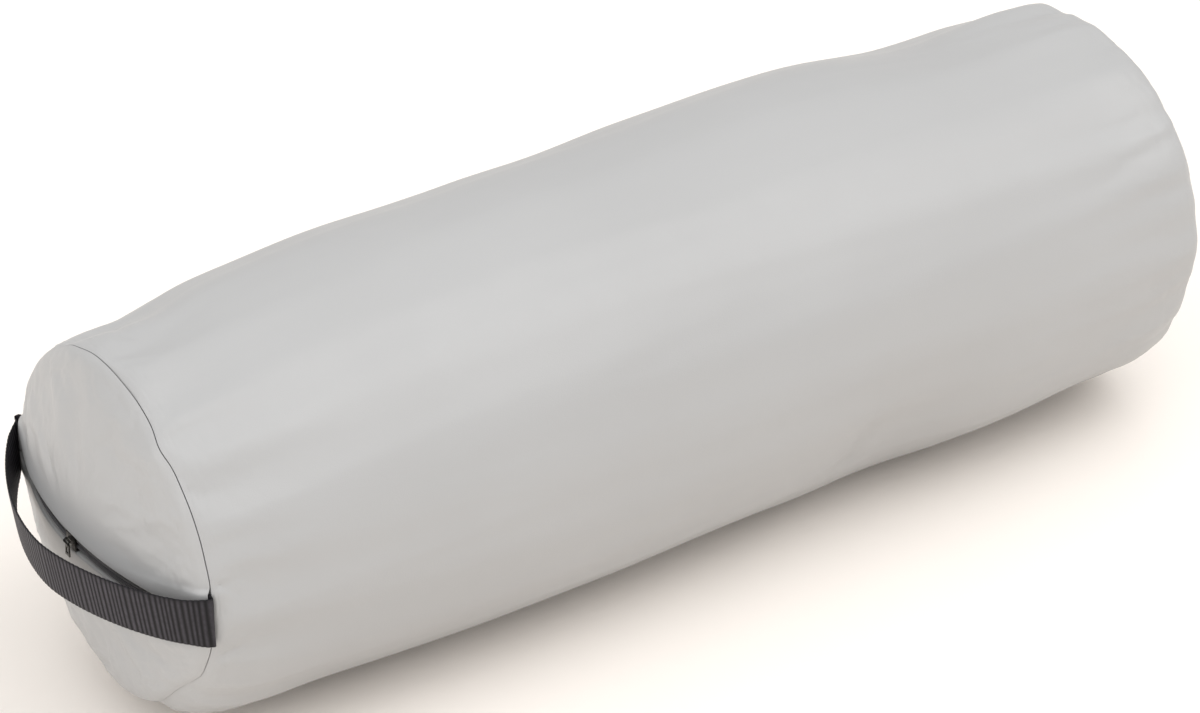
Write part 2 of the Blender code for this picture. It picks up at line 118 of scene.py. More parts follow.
class Graph:
    """A material's node tree with its Principled shader."""

    def __init__(self, name: str) -> None:
        """Makes the material with a shader joined to its output."""
        self.material = bpy.data.materials.new(name)
        self.material.use_nodes = True
        self.tree = self.material.node_tree
        self.shader = self.tree.nodes["Principled BSDF"]

    def add(self, kind: str, settings: dict | None = None, inputs: dict | None = None) -> bpy.types.Node:
        """Adds a node.

        Args:
            kind: the node's type name.
            settings: the node's own options, set first.
            inputs: numbers, colours or values by socket name or place.

        Returns:
            The new node.
        """
        node = self.tree.nodes.new(kind)
        for name, setting in (settings or {}).items():
            setattr(node, name, setting)
        for place, given in (inputs or {}).items():
            self.feed(node.inputs[place], given)
        return node

    def feed(self, socket: bpy.types.NodeSocket, given: Any) -> None:
        """Links a value to a socket, or sets a plain number or colour on it."""
        if isinstance(given, Value):
            self.tree.links.new(given.socket, socket)
        else:
            socket.default_value = given

    def place(self, stretch: Sequence[float] = (1.0, 1.0, 1.0)) -> Value:
        """The object's own coordinates in metres, stretched along each axis."""
        source = self.add("ShaderNodeTexCoord").outputs["Object"]
        node = self.add("ShaderNodeMapping", None, {"Vector": Value(self, source), "Scale": tuple(stretch)})
        return Value(self, node.outputs[0])

    def noise(self, at: Value, scale: float, detail: float = 2.0) -> Value:
        """Soft noise from 0 to 1."""
        node = self.add("ShaderNodeTexNoise", None, {"Vector": at, "Scale": scale, "Detail": detail})
        return Value(self, node.outputs[0])

    def cells(self, at: Value, scale: float) -> Value:
        """Distance to the nearest cell centre."""
        node = self.add("ShaderNodeTexVoronoi", None, {"Vector": at, "Scale": scale})
        return Value(self, node.outputs["Distance"])

    def blend(self, share: Value, low: Sequence[float], high: Sequence[float]) -> Value:
        """A colour between two, by a share from 0 to 1."""
        node = self.add("ShaderNodeMix", {"data_type": "RGBA"}, {0: share, 6: (*low, 1.0), 7: (*high, 1.0)})
        return Value(self, node.outputs[2])

    def part(self, vector: Value, axis: int) -> Value:
        """One coordinate of a vector."""
        node = self.add("ShaderNodeSeparateXYZ", None, {0: vector})
        return Value(self, node.outputs[axis])

    def paint(self, share: Value, low: Sequence[float], high: Sequence[float]) -> None:
        """Gives the shader a colour between two."""
        self.feed(self.shader.inputs["Base Color"], self.blend(share, low, high))

    def rough(self, given: Any) -> None:
        """Gives the shader its roughness, a number or a value."""
        self.feed(self.shader.inputs["Roughness"], given)

    def relief(self, height: Value, distance: float, strength: float = 1.0) -> None:
        """Gives the shader a bump from a height."""
        inputs = {"Height": height, "Distance": distance, "Strength": strength}
        node = self.add("ShaderNodeBump", None, inputs)
        self.tree.links.new(node.outputs[0], self.shader.inputs["Normal"])


# Finishes


@dataclass(frozen=True)
class CoatedFabric:
    """Smooth light-grey coated cover fabric with a fine pebbled grain."""

    slot: str = "cover"
    light: Colour = (0.436, 0.435, 0.434)
    dark: Colour = (0.396, 0.394, 0.392)
    roughness: tuple[float, float] = (0.40, 0.50)
    cloud: float = 7.0
    grain: float = 1500.0
    grain_depth: float = 0.00006

    def material(self) -> bpy.types.Material:
        """Colour and gloss drift slowly over the skin, and the grain is relief."""
        graph = Graph(self.slot)
        at = graph.place()
        cloud = graph.noise(at, self.cloud, 3.0)
        low, high = self.roughness
        graph.paint(cloud, self.dark, self.light)
        gloss = low + (high - low) * graph.noise(at, self.cloud * 9, 2.0)
        graph.rough(gloss)
        pebbles = graph.cells(at, self.grain) * 0.7 + graph.noise(at, self.grain * 0.4, 3.0) * 0.6
        graph.relief(pebbles, self.grain_depth, 0.6)
        return graph.material


@dataclass(frozen=True)
class RibbedWebbing:
    """Charcoal nylon webbing, painted lighter on the ribs' crowns as painted highlight and near-black in the grooves as
    painted shade.
    """

    slot: str = "webbing"
    # valley is the painted shade in the grooves, crown the painted highlight on the ribs' crowns
    valley: Colour = (0.003, 0.0026, 0.0036)
    crown: Colour = (0.078, 0.071, 0.086)
    yarn: float = 1500.0

    def material(self) -> bpy.types.Material:
        """The rib's attribute sets the colour as painted light: painted highlight on the crowns, painted shade in the
        grooves, and darker towards both edges. Yarns give fine relief.
        """
        graph = Graph(self.slot)
        at = graph.place()
        node = graph.add("ShaderNodeAttribute", {"attribute_name": "rib"})
        rib = Value(graph, node.outputs["Fac"])
        # darker towards both ends of the strap
        ends_darker = 1.0 - (graph.part(at, 1).size() * 13.0).power(3.0) * 0.22
        shade = rib * ends_darker * (0.35 + 0.80 * graph.noise(at, 420.0, 3.0))
        graph.paint(shade, self.valley, self.crown)
        graph.rough(0.62 - rib * 0.14)
        graph.shader.inputs["Specular IOR Level"].default_value = 0.25
        yarns = (graph.part(at, 2) * self.yarn * math.tau).sine() * 0.5 + graph.noise(at, 2600.0, 2.0) * 0.5
        graph.relief(yarns, 0.00008, 0.7)
        return graph.material


@dataclass(frozen=True)
class WovenTape:
    """Grey woven zip tape."""

    slot: str = "zip_tape"
    low: Colour = (0.210, 0.206, 0.214)
    high: Colour = (0.320, 0.315, 0.324)
    pitch: float = 1900.0

    def material(self) -> bpy.types.Material:
        """Two crossing sets of yarns in colour and relief."""
        graph = Graph(self.slot)
        at = graph.place()
        along = (graph.part(at, 1) * self.pitch * math.tau).sine()
        across = (graph.part(at, 2) * self.pitch * math.tau).sine()
        weave = (along * across) * 0.5 + 0.5
        worn = weave * 0.7 + graph.noise(at, 300.0, 2.0) * 0.3
        graph.paint(worn, self.low, self.high)
        graph.rough(0.82)
        graph.relief(weave, 0.00008, 0.8)
        return graph.material


@dataclass(frozen=True)
class MouldedCoil:
    """Grey nylon coil of the zip, a little worn, its colour darkened as painted shade for the crease at the zip."""

    slot: str = "zip_coil"
    low: Colour = (0.100, 0.097, 0.102)
    high: Colour = (0.190, 0.186, 0.194)

    def material(self) -> bpy.types.Material:
        """Slight mottling in colour and gloss."""
        graph = Graph(self.slot)
        at = graph.place()
        mottle = graph.noise(at, 500.0, 3.0)
        # low and high are darker than the nylon's grey: painted shade for the zip's crease
        graph.paint(mottle, self.low, self.high)
        graph.rough(0.35 + mottle * 0.2)
        graph.relief(graph.noise(at, 3000.0, 2.0), 0.00002, 0.5)
        return graph.material


@dataclass(frozen=True)
class DarkNickel:
    """Dark nickel plating, brushed, with brighter patches that are partly rubbed wear and partly painted highlight."""

    slot: str = "zip_metal"
    low: Colour = (0.030, 0.028, 0.026)
    high: Colour = (0.420, 0.400, 0.370)

    def material(self) -> bpy.types.Material:
        """Brighter patches, partly rubbed wear and partly painted highlight, are lighter and smoother."""
        graph = Graph(self.slot)
        at = graph.place()
        # brighter patches: partly rubbed wear, partly painted highlight
        rubbed_and_highlight = graph.noise(at, 420.0, 4.0).power(2.6)
        graph.paint(rubbed_and_highlight, self.low, self.high)
        graph.shader.inputs["Metallic"].default_value = 1.0
        graph.rough(0.38 - rubbed_and_highlight * 0.22)
        brushed = graph.noise(graph.place((1.0, 0.15, 1.0)), 5200.0, 2.0)
        graph.relief(brushed, 0.000012, 0.5)
        return graph.material


@dataclass(frozen=True)
class SewingThread:
    """Light-grey twisted polyester thread."""

    slot: str = "thread"
    low: Colour = (0.340, 0.332, 0.325)
    high: Colour = (0.560, 0.552, 0.540)

    def material(self) -> bpy.types.Material:
        """Diagonal strands in colour and relief."""
        graph = Graph(self.slot)
        at = graph.place()
        lean = graph.part(at, 0) + graph.part(at, 1) + graph.part(at, 2)
        strands = (lean * 2600.0 * math.tau).sine() * 0.5 + 0.5
        graph.paint(strands, self.low, self.high)
        graph.rough(0.6)
        graph.relief(strands, 0.00006, 0.8)
        return graph.material


@dataclass(frozen=True)
class OpenFoam:
    """Cream open-cell foam."""

    slot: str = "foam"
    low: Colour = (0.560, 0.480, 0.300)
    high: Colour = (0.800, 0.730, 0.540)

    def material(self) -> bpy.types.Material:
        """Small pores with painted shade inside them, in colour and relief."""
        graph = Graph(self.slot)
        at = graph.place()
        pores = graph.cells(at, 900.0) * 1.1 + graph.noise(at, 25.0, 3.0) * 0.25
        # darker at the cell centres: painted shade inside the pores
        graph.paint(pores, self.low, self.high)
        graph.rough(0.95)
        graph.relief(pores, 0.0006, 0.8)
        return graph.material


@dataclass(frozen=True)
class FibreWadding:
    """White fibre wadding, faintly matted."""

    slot: str = "wadding"
    low: Colour = (0.690, 0.690, 0.680)
    high: Colour = (0.860, 0.860, 0.850)

    def material(self) -> bpy.types.Material:
        """Tangled fibres in colour and relief."""
        graph = Graph(self.slot)
        fibres = graph.noise(graph.place((1.0, 0.4, 1.0)), 380.0, 6.0)
        tufts = graph.noise(graph.place(), 60.0, 3.0)
        graph.paint(fibres * 0.6 + tufts * 0.4, self.low, self.high)
        graph.rough(1.0)
        graph.relief(fibres * 0.5 + tufts * 0.5, 0.0012, 0.7)
        return graph.material


@dataclass(frozen=True)
class PaintedShadeSheet:
    """Near-black felt on the pad behind the zip: painted shade that makes the gap between the zip's lips read dark."""

    slot: str = "wadding_painted_shade"
    low: Colour = (0.006, 0.006, 0.007)
    high: Colour = (0.018, 0.017, 0.019)

    def material(self) -> bpy.types.Material:
        """Matted fibres in colour and relief."""
        # near-black colour is painted shade for the gap behind the zip
        graph = Graph(self.slot)
        fibres = graph.noise(graph.place(), 900.0, 5.0)
        graph.paint(fibres, self.low, self.high)
        graph.rough(1.0)
        graph.relief(fibres, 0.0004, 0.7)
        return graph.material


@dataclass(frozen=True)
class StudioFloor:
    """Pale matt studio floor."""

    slot: str = "studio_floor"
    low: Colour = (0.930, 0.875, 0.820)
    high: Colour = (0.950, 0.895, 0.840)

    def material(self) -> bpy.types.Material:
        """Barely mottled paper."""
        graph = Graph(self.slot)
        mottle = graph.noise(graph.place(), 3.0, 2.0)
        graph.paint(mottle, self.low, self.high)
        graph.rough(0.9)
        graph.shader.inputs["Specular IOR Level"].default_value = 0.1
        return graph.material


class Wardrobe:
    """Every finish of the bolster, made once."""

    def __init__(self) -> None:
        """Makes a material for each slot."""
        finishes = (
            CoatedFabric(),
            RibbedWebbing(),
            WovenTape(),
            MouldedCoil(),
            DarkNickel(),
            SewingThread(),
            OpenFoam(),
            FibreWadding(),
        )
        self.materials = {finish.slot: finish.material() for finish in finishes}

    def dress(self, piece: bpy.types.Object, slot: str) -> None:
        """Gives a piece one slot's material."""
        piece.data.materials.clear()
        piece.data.materials.append(self.materials[slot])

    def dress_node(self, node: str, slot: str) -> None:
        """Gives a carried-over solid one slot's material."""
        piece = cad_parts[node]
        piece.data.materials.clear()
        piece.data.materials.append(self.materials[slot])


# Meshes


def grid_faces(rows: int, columns: int, ring: bool) -> list[tuple[int, int, int, int]]:
    """Quads of a grid of points.

    Args:
        rows: points in the slow direction.
        columns: points in the fast direction.
        ring: whether the fast direction closes on itself.

    Returns:
        Corner indices of each quad.
    """
    last = columns if ring else columns - 1
    faces = []
    for i in range(rows - 1):
        for j in range(last):
            k = (j + 1) % columns
            faces.append((i * columns + j, i * columns + k, (i + 1) * columns + k, (i + 1) * columns + j))
    return faces


def ring_turns(count: int) -> Array:
    """Even turns round a ring, from straight down."""
    return np.linspace(0.0, math.tau, count, endpoint=False)


def linked(name: str, data: Any) -> bpy.types.Object:
    """A new object of the given data, in the scene."""
    piece = bpy.data.objects.new(name, data)
    bpy.context.scene.collection.objects.link(piece)
    return piece


def make_piece(name: str, points: Array, faces: Sequence[Sequence[int]], inside: Vector) -> bpy.types.Object:
    """A smooth mesh object whose faces look away from a place inside it.

    Args:
        name: the piece's name.
        points: one row of coordinates for each point.
        faces: corner indices.
        inside: the place that the faces look away from.

    Returns:
        The linked object.
    """
    shape = bmesh.new()
    vertices = [shape.verts.new(point) for point in points]
    for face in faces:
        shape.faces.new([vertices[i] for i in face])
    bmesh.ops.remove_doubles(shape, verts=shape.verts, dist=1e-6)
    bmesh.ops.dissolve_degenerate(shape, edges=shape.edges, dist=1e-7)
    bmesh.ops.recalc_face_normals(shape, faces=shape.faces)
    shape.normal_update()
    if sum((face.calc_center_median() - inside).dot(face.normal) * face.calc_area() for face in shape.faces) < 0:
        bmesh.ops.reverse_faces(shape, faces=shape.faces)
    return link_shape(name, shape)


def link_shape(name: str, shape: bmesh.types.BMesh, angle: float = math.radians(40)) -> bpy.types.Object:
    """Links a bmesh as a smooth object and frees it."""
    mesh = bpy.data.meshes.new(name)
    shape.to_mesh(mesh)
    shape.free()
    mesh.shade_smooth()
    mesh.set_sharp_from_angle(angle=angle)
    return linked(name, mesh)


def bake_modifiers(piece: bpy.types.Object) -> None:
    """Turns a piece's evaluated shape into its plain mesh and takes its modifiers off."""
    graph = bpy.context.evaluated_depsgraph_get()
    baked = bpy.data.meshes.new_from_object(piece.evaluated_get(graph), depsgraph=graph)
    piece.modifiers.clear()
    old = piece.data
    piece.data = baked
    bpy.data.meshes.remove(old)


def thicken(piece: bpy.types.Object, wall: float) -> None:
    """Gives an open skin a wall inside it."""
    solid = piece.modifiers.new("Wall", "SOLIDIFY")
    solid.thickness = wall
    solid.offset = -1.0
    bake_modifiers(piece)


def join_meshes(name: str, pieces: Sequence[bpy.types.Object]) -> bpy.types.Object:
    """Joins several objects' meshes into one new object and removes them."""
    shape = bmesh.new()
    for piece in pieces:
        shape.from_mesh(piece.data)
        bpy.data.objects.remove(piece)
    return link_shape(name, shape)


def softened_copy(node: str, name: str, edge: float) -> bpy.types.Object:
    """A copy of a hard solid with its corners rounded.

    Args:
        node: the solid to copy.
        name: the new piece's name.
        edge: width of the rounding.

    Returns:
        The new piece, which stands for the node.
    """
    shape = bmesh.new()
    shape.from_mesh(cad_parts[node].data)
    bmesh.ops.remove_doubles(shape, verts=shape.verts, dist=2e-6)
    bmesh.ops.dissolve_limit(shape, angle_limit=math.radians(2), verts=shape.verts, edges=shape.edges)
    piece = link_shape(name, shape, math.radians(30))
    bevel = piece.modifiers.new("Edges", "BEVEL")
    bevel.width = edge
    bevel.segments = 2
    bevel.limit_method = "ANGLE"
    bevel.angle_limit = math.radians(30)
    bevel.use_clamp_overlap = True
    bake_modifiers(piece)
    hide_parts(node)
    return piece


# Rows of copies


class CopyShape(Enum):
    """What a row repeats."""

    STITCH = "stitch"
    COIL_TURN = "coil turn"


class NodeTree:
    """A Geometry Nodes tree that is built in code, with named inputs."""

    def __init__(self, name: str, inputs: dict[str, float], material: bpy.types.Material) -> None:
        """Makes the tree's own sockets and its group input and output."""
        self.group = bpy.data.node_groups.new(name, "GeometryNodeTree")
        self.material = material
        face = self.group.interface
        face.new_socket("Geometry", in_out="INPUT", socket_type="NodeSocketGeometry")
        face.new_socket("Geometry", in_out="OUTPUT", socket_type="NodeSocketGeometry")
        self.identifiers: dict[str, str] = {}
        for label, default in inputs.items():
            socket = face.new_socket(label, in_out="INPUT", socket_type="NodeSocketFloat")
            socket.default_value = default
            self.identifiers[label] = socket.identifier
        self.source = self.add("NodeGroupInput")
        self.result = self.add("NodeGroupOutput")

    def add(self, kind: str, settings: dict | None = None, inputs: dict | None = None) -> bpy.types.Node:
        """Adds a node with its options and inputs, which may be other nodes' output sockets."""
        node = self.group.nodes.new(kind)
        for name, setting in (settings or {}).items():
            setattr(node, name, setting)
        for place, given in (inputs or {}).items():
            if isinstance(given, bpy.types.NodeSocket):
                self.group.links.new(given, node.inputs[place])
            else:
                node.inputs[place].default_value = given
        return node

    def attribute(self, name: str, kind: str) -> bpy.types.NodeSocket:
        """Reads a named attribute of the points."""
        node = self.add("GeometryNodeInputNamedAttribute", {"data_type": kind}, {"Name": name})
        return next(socket for socket in node.outputs if socket.enabled)

    def maths(self, operation: str, first: Any, second: Any = 0.0) -> bpy.types.NodeSocket:
        """One Math node on two numbers or sockets."""
        return self.add("ShaderNodeMath", {"operation": operation}, {0: first, 1: second}).outputs[0]

    def close(self, geometry: bpy.types.NodeSocket) -> None:
        """Ends the tree in Realize Instances and Set Material."""
        real = self.add("GeometryNodeRealizeInstances", None, {"Geometry": geometry})
        painted = self.add("GeometryNodeSetMaterial", None, {"Geometry": real.outputs[0]})
        painted.inputs["Material"].default_value = self.material
        self.group.links.new(painted.outputs[0], self.result.inputs[0])

    def grow(self, piece: bpy.types.Object, sizes: dict[str, float]) -> bpy.types.Object:
        """Runs the tree on an object and keeps the result as its plain mesh."""
        modifier = piece.modifiers.new("Tree", "NODES")
        modifier.node_group = self.group
        for label, size in sizes.items():
            modifier[self.identifiers[label]] = size
        bake_modifiers(piece)
        return piece


class CopyTree(NodeTree):
    """Puts one copy of a small solid on every point, turned by the point's two directions."""

    def __init__(self, shape: CopyShape, material: bpy.types.Material) -> None:
        """Builds the copy for its shape and the tree round it."""
        super().__init__(shape.value, {"Length": 0.003, "Width": 0.0008, "Depth": 0.0008, "Wire": 0.0003}, material)
        copy = self.stitch() if shape is CopyShape.STITCH else self.coil_turn()
        turn = self.add(
            "FunctionNodeAxesToRotation",
            {"primary_axis": "X", "secondary_axis": "Z"},
            {0: self.attribute("along", "FLOAT_VECTOR"), 1: self.attribute("outward", "FLOAT_VECTOR")},
        )
        copies = self.add(
            "GeometryNodeInstanceOnPoints",
            None,
            {"Points": self.source.outputs["Geometry"], "Instance": copy, "Rotation": turn.outputs[0]},
        )
        self.close(copies.outputs[0])

    def scaled(self, geometry: bpy.types.NodeSocket, x: Any, y: Any, z: Any) -> bpy.types.NodeSocket:
        """The geometry scaled by three numbers or sockets."""
        scale = self.add("ShaderNodeCombineXYZ", None, {0: x, 1: y, 2: z})
        node = self.add("GeometryNodeTransform", None, {"Geometry": geometry, "Scale": scale.outputs[0]})
        return node.outputs[0]

    def stitch(self) -> bpy.types.NodeSocket:
        """A plump stitch along X."""
        ball = self.add("GeometryNodeMeshUVSphere", None, {"Segments": 8, "Rings": 6, "Radius": 0.5})
        sizes = [self.source.outputs[label] for label in ("Length", "Width", "Depth")]
        return self.scaled(ball.outputs[0], *sizes)

    def coil_turn(self) -> bpy.types.NodeSocket:
        """One oval turn of wire, its plane across X."""
        loop = self.add("GeometryNodeCurvePrimitiveCircle", None, {"Resolution": 12, "Radius": 0.5})
        turned = self.add("GeometryNodeTransform", None, {"Geometry": loop.outputs[0]})
        turned.inputs["Rotation"].default_value = (0.0, math.pi / 2, 0.0)
        sizes = [1.0, self.source.outputs["Width"], self.source.outputs["Depth"]]
        oval = self.scaled(turned.outputs[0], *sizes)
        wire = self.add("GeometryNodeCurvePrimitiveCircle", None, {"Resolution": 6})
        self.group.links.new(self.source.outputs["Wire"], wire.inputs["Radius"])
        tube = self.add("GeometryNodeCurveToMesh", None, {"Curve": oval, "Profile Curve": wire.outputs[0]})
        return tube.outputs[0]


class RibTree(NodeTree):
    """Presses evenly spaced grooves across a strip and stores, as an attribute, a share for painted light: high on the
    ribs' crowns as painted highlight, low in the grooves as painted shade, and lower at both edges.
    """

    def __init__(self, material: bpy.types.Material) -> None:
        """Builds the groove from the strip's own run and groove attributes."""
        super().__init__("ribs", {"Pitch": 0.003, "Depth": 1.0}, material)
        phase = self.maths("DIVIDE", self.attribute("run", "FLOAT"), self.source.outputs["Pitch"])
        wave = self.maths("ABSOLUTE", self.maths("SINE", self.maths("MULTIPLY", phase, math.pi)))
        height = self.maths("POWER", wave, 0.55)
        # painted light: lighter on the ribs' crowns, darker in the grooves
        painted_rib_light = self.maths("POWER", wave, 2.2)
        low = self.maths("SUBTRACT", 1.0, height)
        reach = self.maths("MULTIPLY", low, self.source.outputs["Depth"])
        offset = self.add("ShaderNodeVectorMath", {"operation": "SCALE"})
        self.group.links.new(self.attribute("groove", "FLOAT_VECTOR"), offset.inputs[0])
        self.group.links.new(reach, offset.inputs["Scale"])
        # darker towards both edges of the strap
        plain = self.maths("SUBTRACT", 1.0, self.maths("MULTIPLY", self.attribute("selvedge", "FLOAT"), 0.8))
        stored = self.add(
            "GeometryNodeStoreNamedAttribute",
            {"data_type": "FLOAT", "domain": "POINT"},
            {
                "Geometry": self.source.outputs["Geometry"],
                "Name": "rib",
                "Value": self.maths("MULTIPLY", painted_rib_light, plain),
            },
        )
        moved = self.add(
            "GeometryNodeSetPosition", None, {"Geometry": stored.outputs[0], "Offset": offset.outputs[0]}
        )
        self.close(moved.outputs[0])


def row_of(name: str, tree: CopyTree, places: Array, along: Array, outward: Array, sizes: dict) -> bpy.types.Object:
    """A row of copies.

    Args:
        name: the row's name.
        tree: the tree that makes and places the copies.
        places: where each copy goes.
        along: each copy's own X direction.
        outward: each copy's own Z direction.
        sizes: the tree's inputs by label.

    Returns:
        The row as one plain mesh object.
    """
    mesh = bpy.data.meshes.new(name)
    mesh.from_pydata([tuple(place) for place in places], [], [])
    for label, rows in (("along", along), ("outward", outward)):
        data = mesh.attributes.new(label, "FLOAT_VECTOR", "POINT").data
        data.foreach_set("vector", np.asarray(rows, np.float32).ravel())
    piece = linked(name, mesh)
    tree.grow(piece, sizes)
    piece.data.shade_smooth()
    for label in ("along", "outward"):
        if label in piece.data.attributes:
            piece.data.attributes.remove(piece.data.attributes[label])
    return piece


# The stuffed cover's shape


def smooth_share(values: Array, low: float, high: float) -> Array:
    """0 below low, 1 above high, eased in between."""
    share = np.clip((values - low) / (high - low), 0.0, 1.0)
    return share * share * (3 - 2 * share)


def above_floor(level: Array) -> Array:
    """Heights with what would go under the floor eased up to it."""
    return 0.5 * (level + np.sqrt(level**2 + FLOOR_EASE**2))


def turned_apart(angle: Array, other: float) -> Array:
    """The signed turn from one angle to others, within half a turn."""
    return (angle - other + math.pi) % math.tau - math.pi


class Ripple:
    """Smooth random waves round a ring, from a fixed seed."""

    def __init__(self, knots: int, seed: int) -> None:
        """Draws one height for each knot."""
        self.heights = np.random.default_rng(seed).uniform(-1.0, 1.0, knots)

    def __call__(self, angle: Array) -> Array:
        """Height at each angle, eased between the knots."""
        count = len(self.heights)
        place = (np.asarray(angle) / math.tau % 1.0) * count
        low = np.floor(place).astype(int) % count
        share = place - np.floor(place)
        share = share * share * (3 - 2 * share)
        return self.heights[low] * (1 - share) + self.heights[(low + 1) % count] * share


@dataclass(frozen=True)
class Fold:
    """A crease in the body's skin between two places, given by X and by degrees round from straight down."""

    start: tuple[float, float]
    end: tuple[float, float]
    depth: float
    width: float
    tail: float = 0.55
    shoulder: float = 0.45
    spread: float = 2.4

    def relief(self, x: Array, angle: Array, radius: float) -> Array:
        """How far the skin moves out, negative in the crease and positive on its shoulders.

        Args:
            x: places along the bolster.
            angle: turns round it from straight down.
            radius: what turns an angle into a length.

        Returns:
            The move at each place.
        """
        across = turned_apart(angle, math.radians(self.start[1])) * radius
        span = np.array([self.end[0] - self.start[0], math.radians(self.end[1] - self.start[1]) * radius])
        length = float(np.hypot(*span))
        share = np.clip(((x - self.start[0]) * span[0] + across * span[1]) / length**2, 0.0, 1.0)
        gap = np.hypot(x - self.start[0] - share * span[0], across - share * span[1])
        fade = 1 - self.tail * share
        valley = np.exp(-((gap / self.width) ** 2))
        shoulder = self.shoulder * np.exp(-((gap / (self.spread * self.width)) ** 2))
        return -self.depth * fade * (valley - shoulder)


@dataclass(frozen=True)
class Swell:
    """A broad soft rise, or hollow, in the body's stuffing."""

    x: float
    angle: float
    height: float
    reach: float
    girth: float

    def relief(self, x: Array, angle: Array, radius: float) -> Array:
        """How far the skin moves out at each place."""
        around = turned_apart(angle, math.radians(self.angle)) * radius
        return self.height * np.exp(-(((x - self.x) / self.reach) ** 2) - (around / self.girth) ** 2)


@dataclass(frozen=True)
class Lobe:
    """A stretch of a ring, in degrees round from straight down, where a measure grows."""

    amount: float
    middle: float
    spread: float

    def __call__(self, angle: Array) -> Array:
        """The growth at each turn."""
        turn = np.degrees(turned_apart(angle, math.radians(self.middle)))
        return self.amount * np.exp(-((turn / self.spread) ** 2))


@dataclass(frozen=True)
class CoverSizes:
    """Sizes that the cover's panels share. The ends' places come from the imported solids."""

    body_radius: float = 0.1130
    seam_radius: float = 0.0977
    swell_power: float = 4.0
    rest_strip: float = 0.0500
    vinyl: float = 0.0010
    flange_radius: float = 0.0877
    groove: float = 0.0016
    groove_width: float = 0.0026
    rim_reach: float = 0.0120
    long_seam_angle: float = math.radians(55)
    zip_drop: float = 0.0030
    seam_gap: float = 0.0003
    webbing_room: float = 0.0017
    far_roll: float = 0.0060
    corner_reach: float = 0.004
    stray_reach: float = 0.030
    unevenness: float = 0.0005
    uneven_twist: float = 7.0
    long_groove: float = 0.0011
    long_groove_width: float = 0.0013
    seam_overlap: float = 0.0001
    half_length: float = field(default_factory=lambda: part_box("cover_body_panel")[1].x)
    crown: float = field(default_factory=lambda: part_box("end_panel_closed")[1].x)

    @property
    def axis_height(self) -> float:
        """Height of the bolster's own axis."""
        return math.sqrt(self.body_radius**2 - (self.rest_strip / 2) ** 2)

    @property
    def dome_radius(self) -> float:
        """Radius of the sphere that an end panel follows."""
        rise = self.crown - self.half_length - self.seam_gap
        return (self.seam_radius**2 + rise**2) / (2 * rise)

    @property
    def dome_centre(self) -> float:
        """Distance along X of that sphere's centre."""
        return self.crown - self.dome_radius

    def about_axis(self, x: Array, radius: Array, turn: Array) -> Array:
        """Points by X, by distance from the bolster's axis and by turn from straight down."""
        return np.stack([x, radius * np.sin(turn), self.axis_height - radius * np.cos(turn)], axis=-1)


